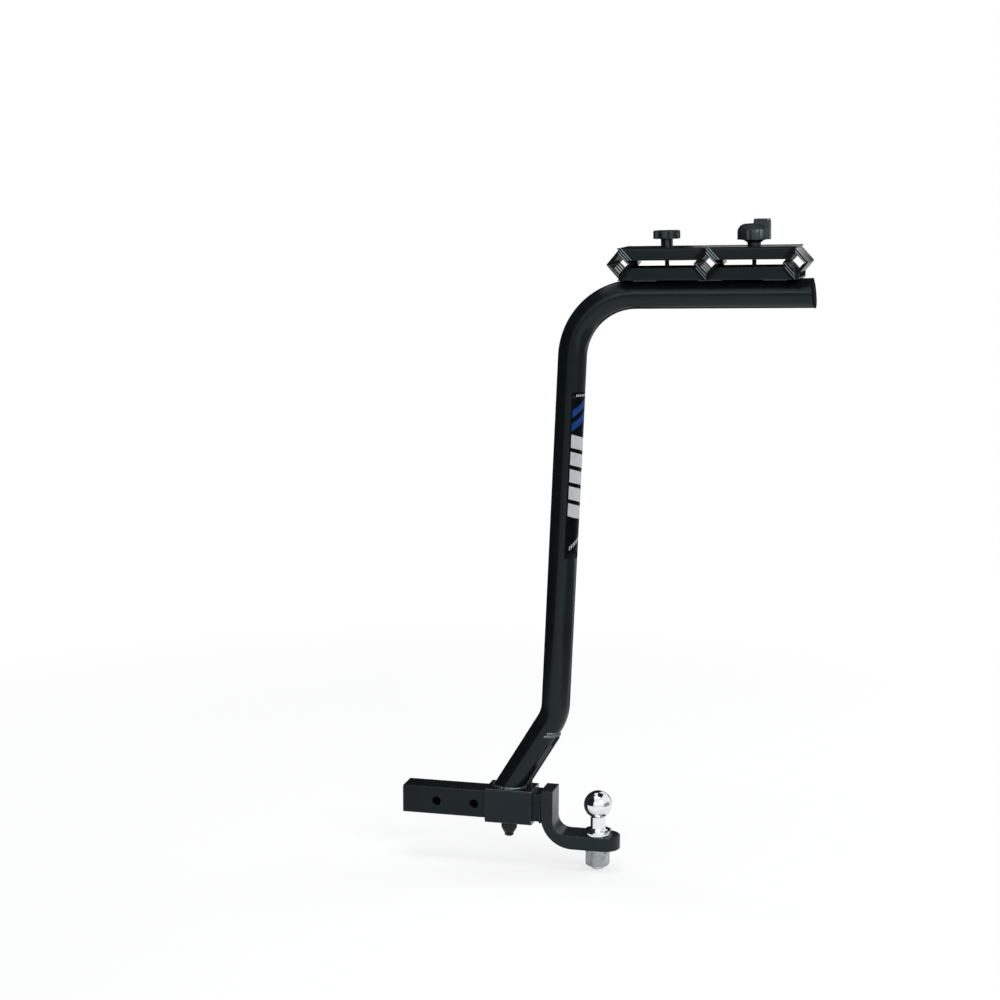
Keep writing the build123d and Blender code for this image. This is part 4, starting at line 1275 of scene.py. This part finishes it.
for end, x in (("front", -OPENING_PITCH), ("middle", 0.0), ("rear", OPENING_PITCH)):
    lower_place = ARM_PLACE @ Matrix.Translation((x, 0.0, TUBE_R + PLATE))
    upper_place = ARM_PLACE @ Matrix.Translation((x, 0.0, BAR_TOP - PLATE)) @ Matrix.Rotation(math.pi, 4, "Y")
    moulded_saddle(f"lower_saddle_{end}", lower_place, end != "front", end != "rear", -1)
    moulded_saddle(f"upper_saddle_{end}", upper_place, end != "rear", end != "front", 1)


# Studs and washers
# Two bolts welded by their heads to the lower bar, running up through the upper bar and the washers
# into the knobs. All are black zinc, and the bolts have a rolled thread all the way up.
STUD_X = 75.0 * MM
STUD_R = 3.97 * MM
STUD_PITCH = 1.4111 * MM
STUD_TOP = 104.0 * MM
STUD_HEAD = 5.3 * MM
STUD_HEAD_R = 6.35 * MM
STUD_HEAD_FLARE = 0.7 * MM
STUD_TIP_BREAK = 0.8 * MM
STUD_NECK = 0.6 * MM
STUD_THREAD_LIFT = 0.8 * MM
STUD_UNTHREADED = 1.4 * MM

for node, x in (("front_stud", -STUD_X), ("rear_stud", STUD_X)):
    seat = TUBE_R + PLATE
    root = STUD_R - THREAD_ROOT * STUD_PITCH
    stud_outline = [
        (0.0, STUD_TOP),
        (root - STUD_TIP_BREAK, STUD_TOP),
        (root, STUD_TOP - STUD_TIP_BREAK),
        (root, seat + STUD_HEAD + STUD_NECK),
        (STUD_R, seat + STUD_HEAD),
        (STUD_HEAD_R, seat + STUD_HEAD),
        (STUD_HEAD_R + STUD_HEAD_FLARE, seat + STUD_HEAD - STUD_HEAD_FLARE),
        (STUD_HEAD_R + STUD_HEAD_FLARE, seat),
        (0.0, seat),
    ]
    stud = turned(f"{node}_threaded", stud_outline, Vector((x, 0.0, 0.0)), black_zinc, segments=36)
    low = Vector((x, 0.0, seat + STUD_HEAD + STUD_THREAD_LIFT))
    stud = threaded(stud, STUD_R, STUD_PITCH, low, STUD_TOP - low.z - STUD_UNTHREADED, black_zinc)
    stud.data.transform(ARM_PLACE)
    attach(stud, "rack")
    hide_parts(node)
finished_copy("front_washer", black_zinc)
finished_copy("rear_washer", black_zinc)


# Front knob
# Six-lobed hand knob, moulded in black nylon round a brass bush, with ribs between deep flutes down
# its hub. The plastic is finely spark textured and a little polished on its lobes by hands.
HUB_CORE_R = 8.8 * MM
HUB_CORE_NEAR = 0.15 * MM
HUB_TOP = 94.55 * MM
FLUTE_FLOOR_R = 7.1 * MM
FLUTE_SHARE = FLUTE_FLOOR_R / HUB_CORE_R

knob_plastic = skin_material(
    "knob_plastic", (0.0110, 0.0142, 0.0145), (0.0170, 0.0200, 0.0203), (0.034, 0.037, 0.037), (0.26, 0.36),
    dict(Scale=1500.0, Depth=0.00006, Strength=0.35, Edge_Radius=0.0006), patches=30.0, ior=1.47,
)
bush_brass = skin_material(
    "bush_brass", (0.70, 0.50, 0.22), (0.60, 0.43, 0.20), (0.80, 0.60, 0.30), (0.20, 0.35),
    dict(Scale=900.0, Depth=0.00004, Strength=0.3, Edge_Radius=0.0003), metal=1.0,
)
front_knob = finished_copy("front_knob", knob_plastic)
knob_axis = ARM_PLACE @ Matrix.Translation((-STUD_X, 0.0, 0.0))
to_axis = knob_axis.inverted()
for vertex in front_knob.data.vertices:
    spot = to_axis @ vertex.co
    on_core = abs(math.hypot(spot.x, spot.y) - HUB_CORE_R) < HUB_CORE_NEAR
    if on_core and spot.z < HUB_TOP:
        vertex.co = knob_axis @ Vector((spot.x * FLUTE_SHARE, spot.y * FLUTE_SHARE, spot.z))
finished_copy("front_knob_insert", bush_brass)


# Rear locking knob
# Domed hand knob with shallow finger grooves and a square housing at its side for the lock. A hinged
# dust cap covers the keyhole, and turning the key lets the knob spin without loosening the clamp.
lock_nickel = skin_material(
    "lock_nickel", (0.60, 0.60, 0.59), (0.46, 0.46, 0.455), (0.72, 0.72, 0.71), (0.18, 0.30),
    dict(Scale=1100.0, Depth=0.00004, Strength=0.4, Edge_Radius=0.0003), metal=1.0, patches=140.0,
)
finished_copy("rear_lock_knob", knob_plastic)
finished_copy("rear_knob_insert", bush_brass)
finished_copy("dust_cap", knob_plastic)
finished_copy("dust_cap_pin", lock_nickel)
finished_copy("lock_core", lock_nickel)
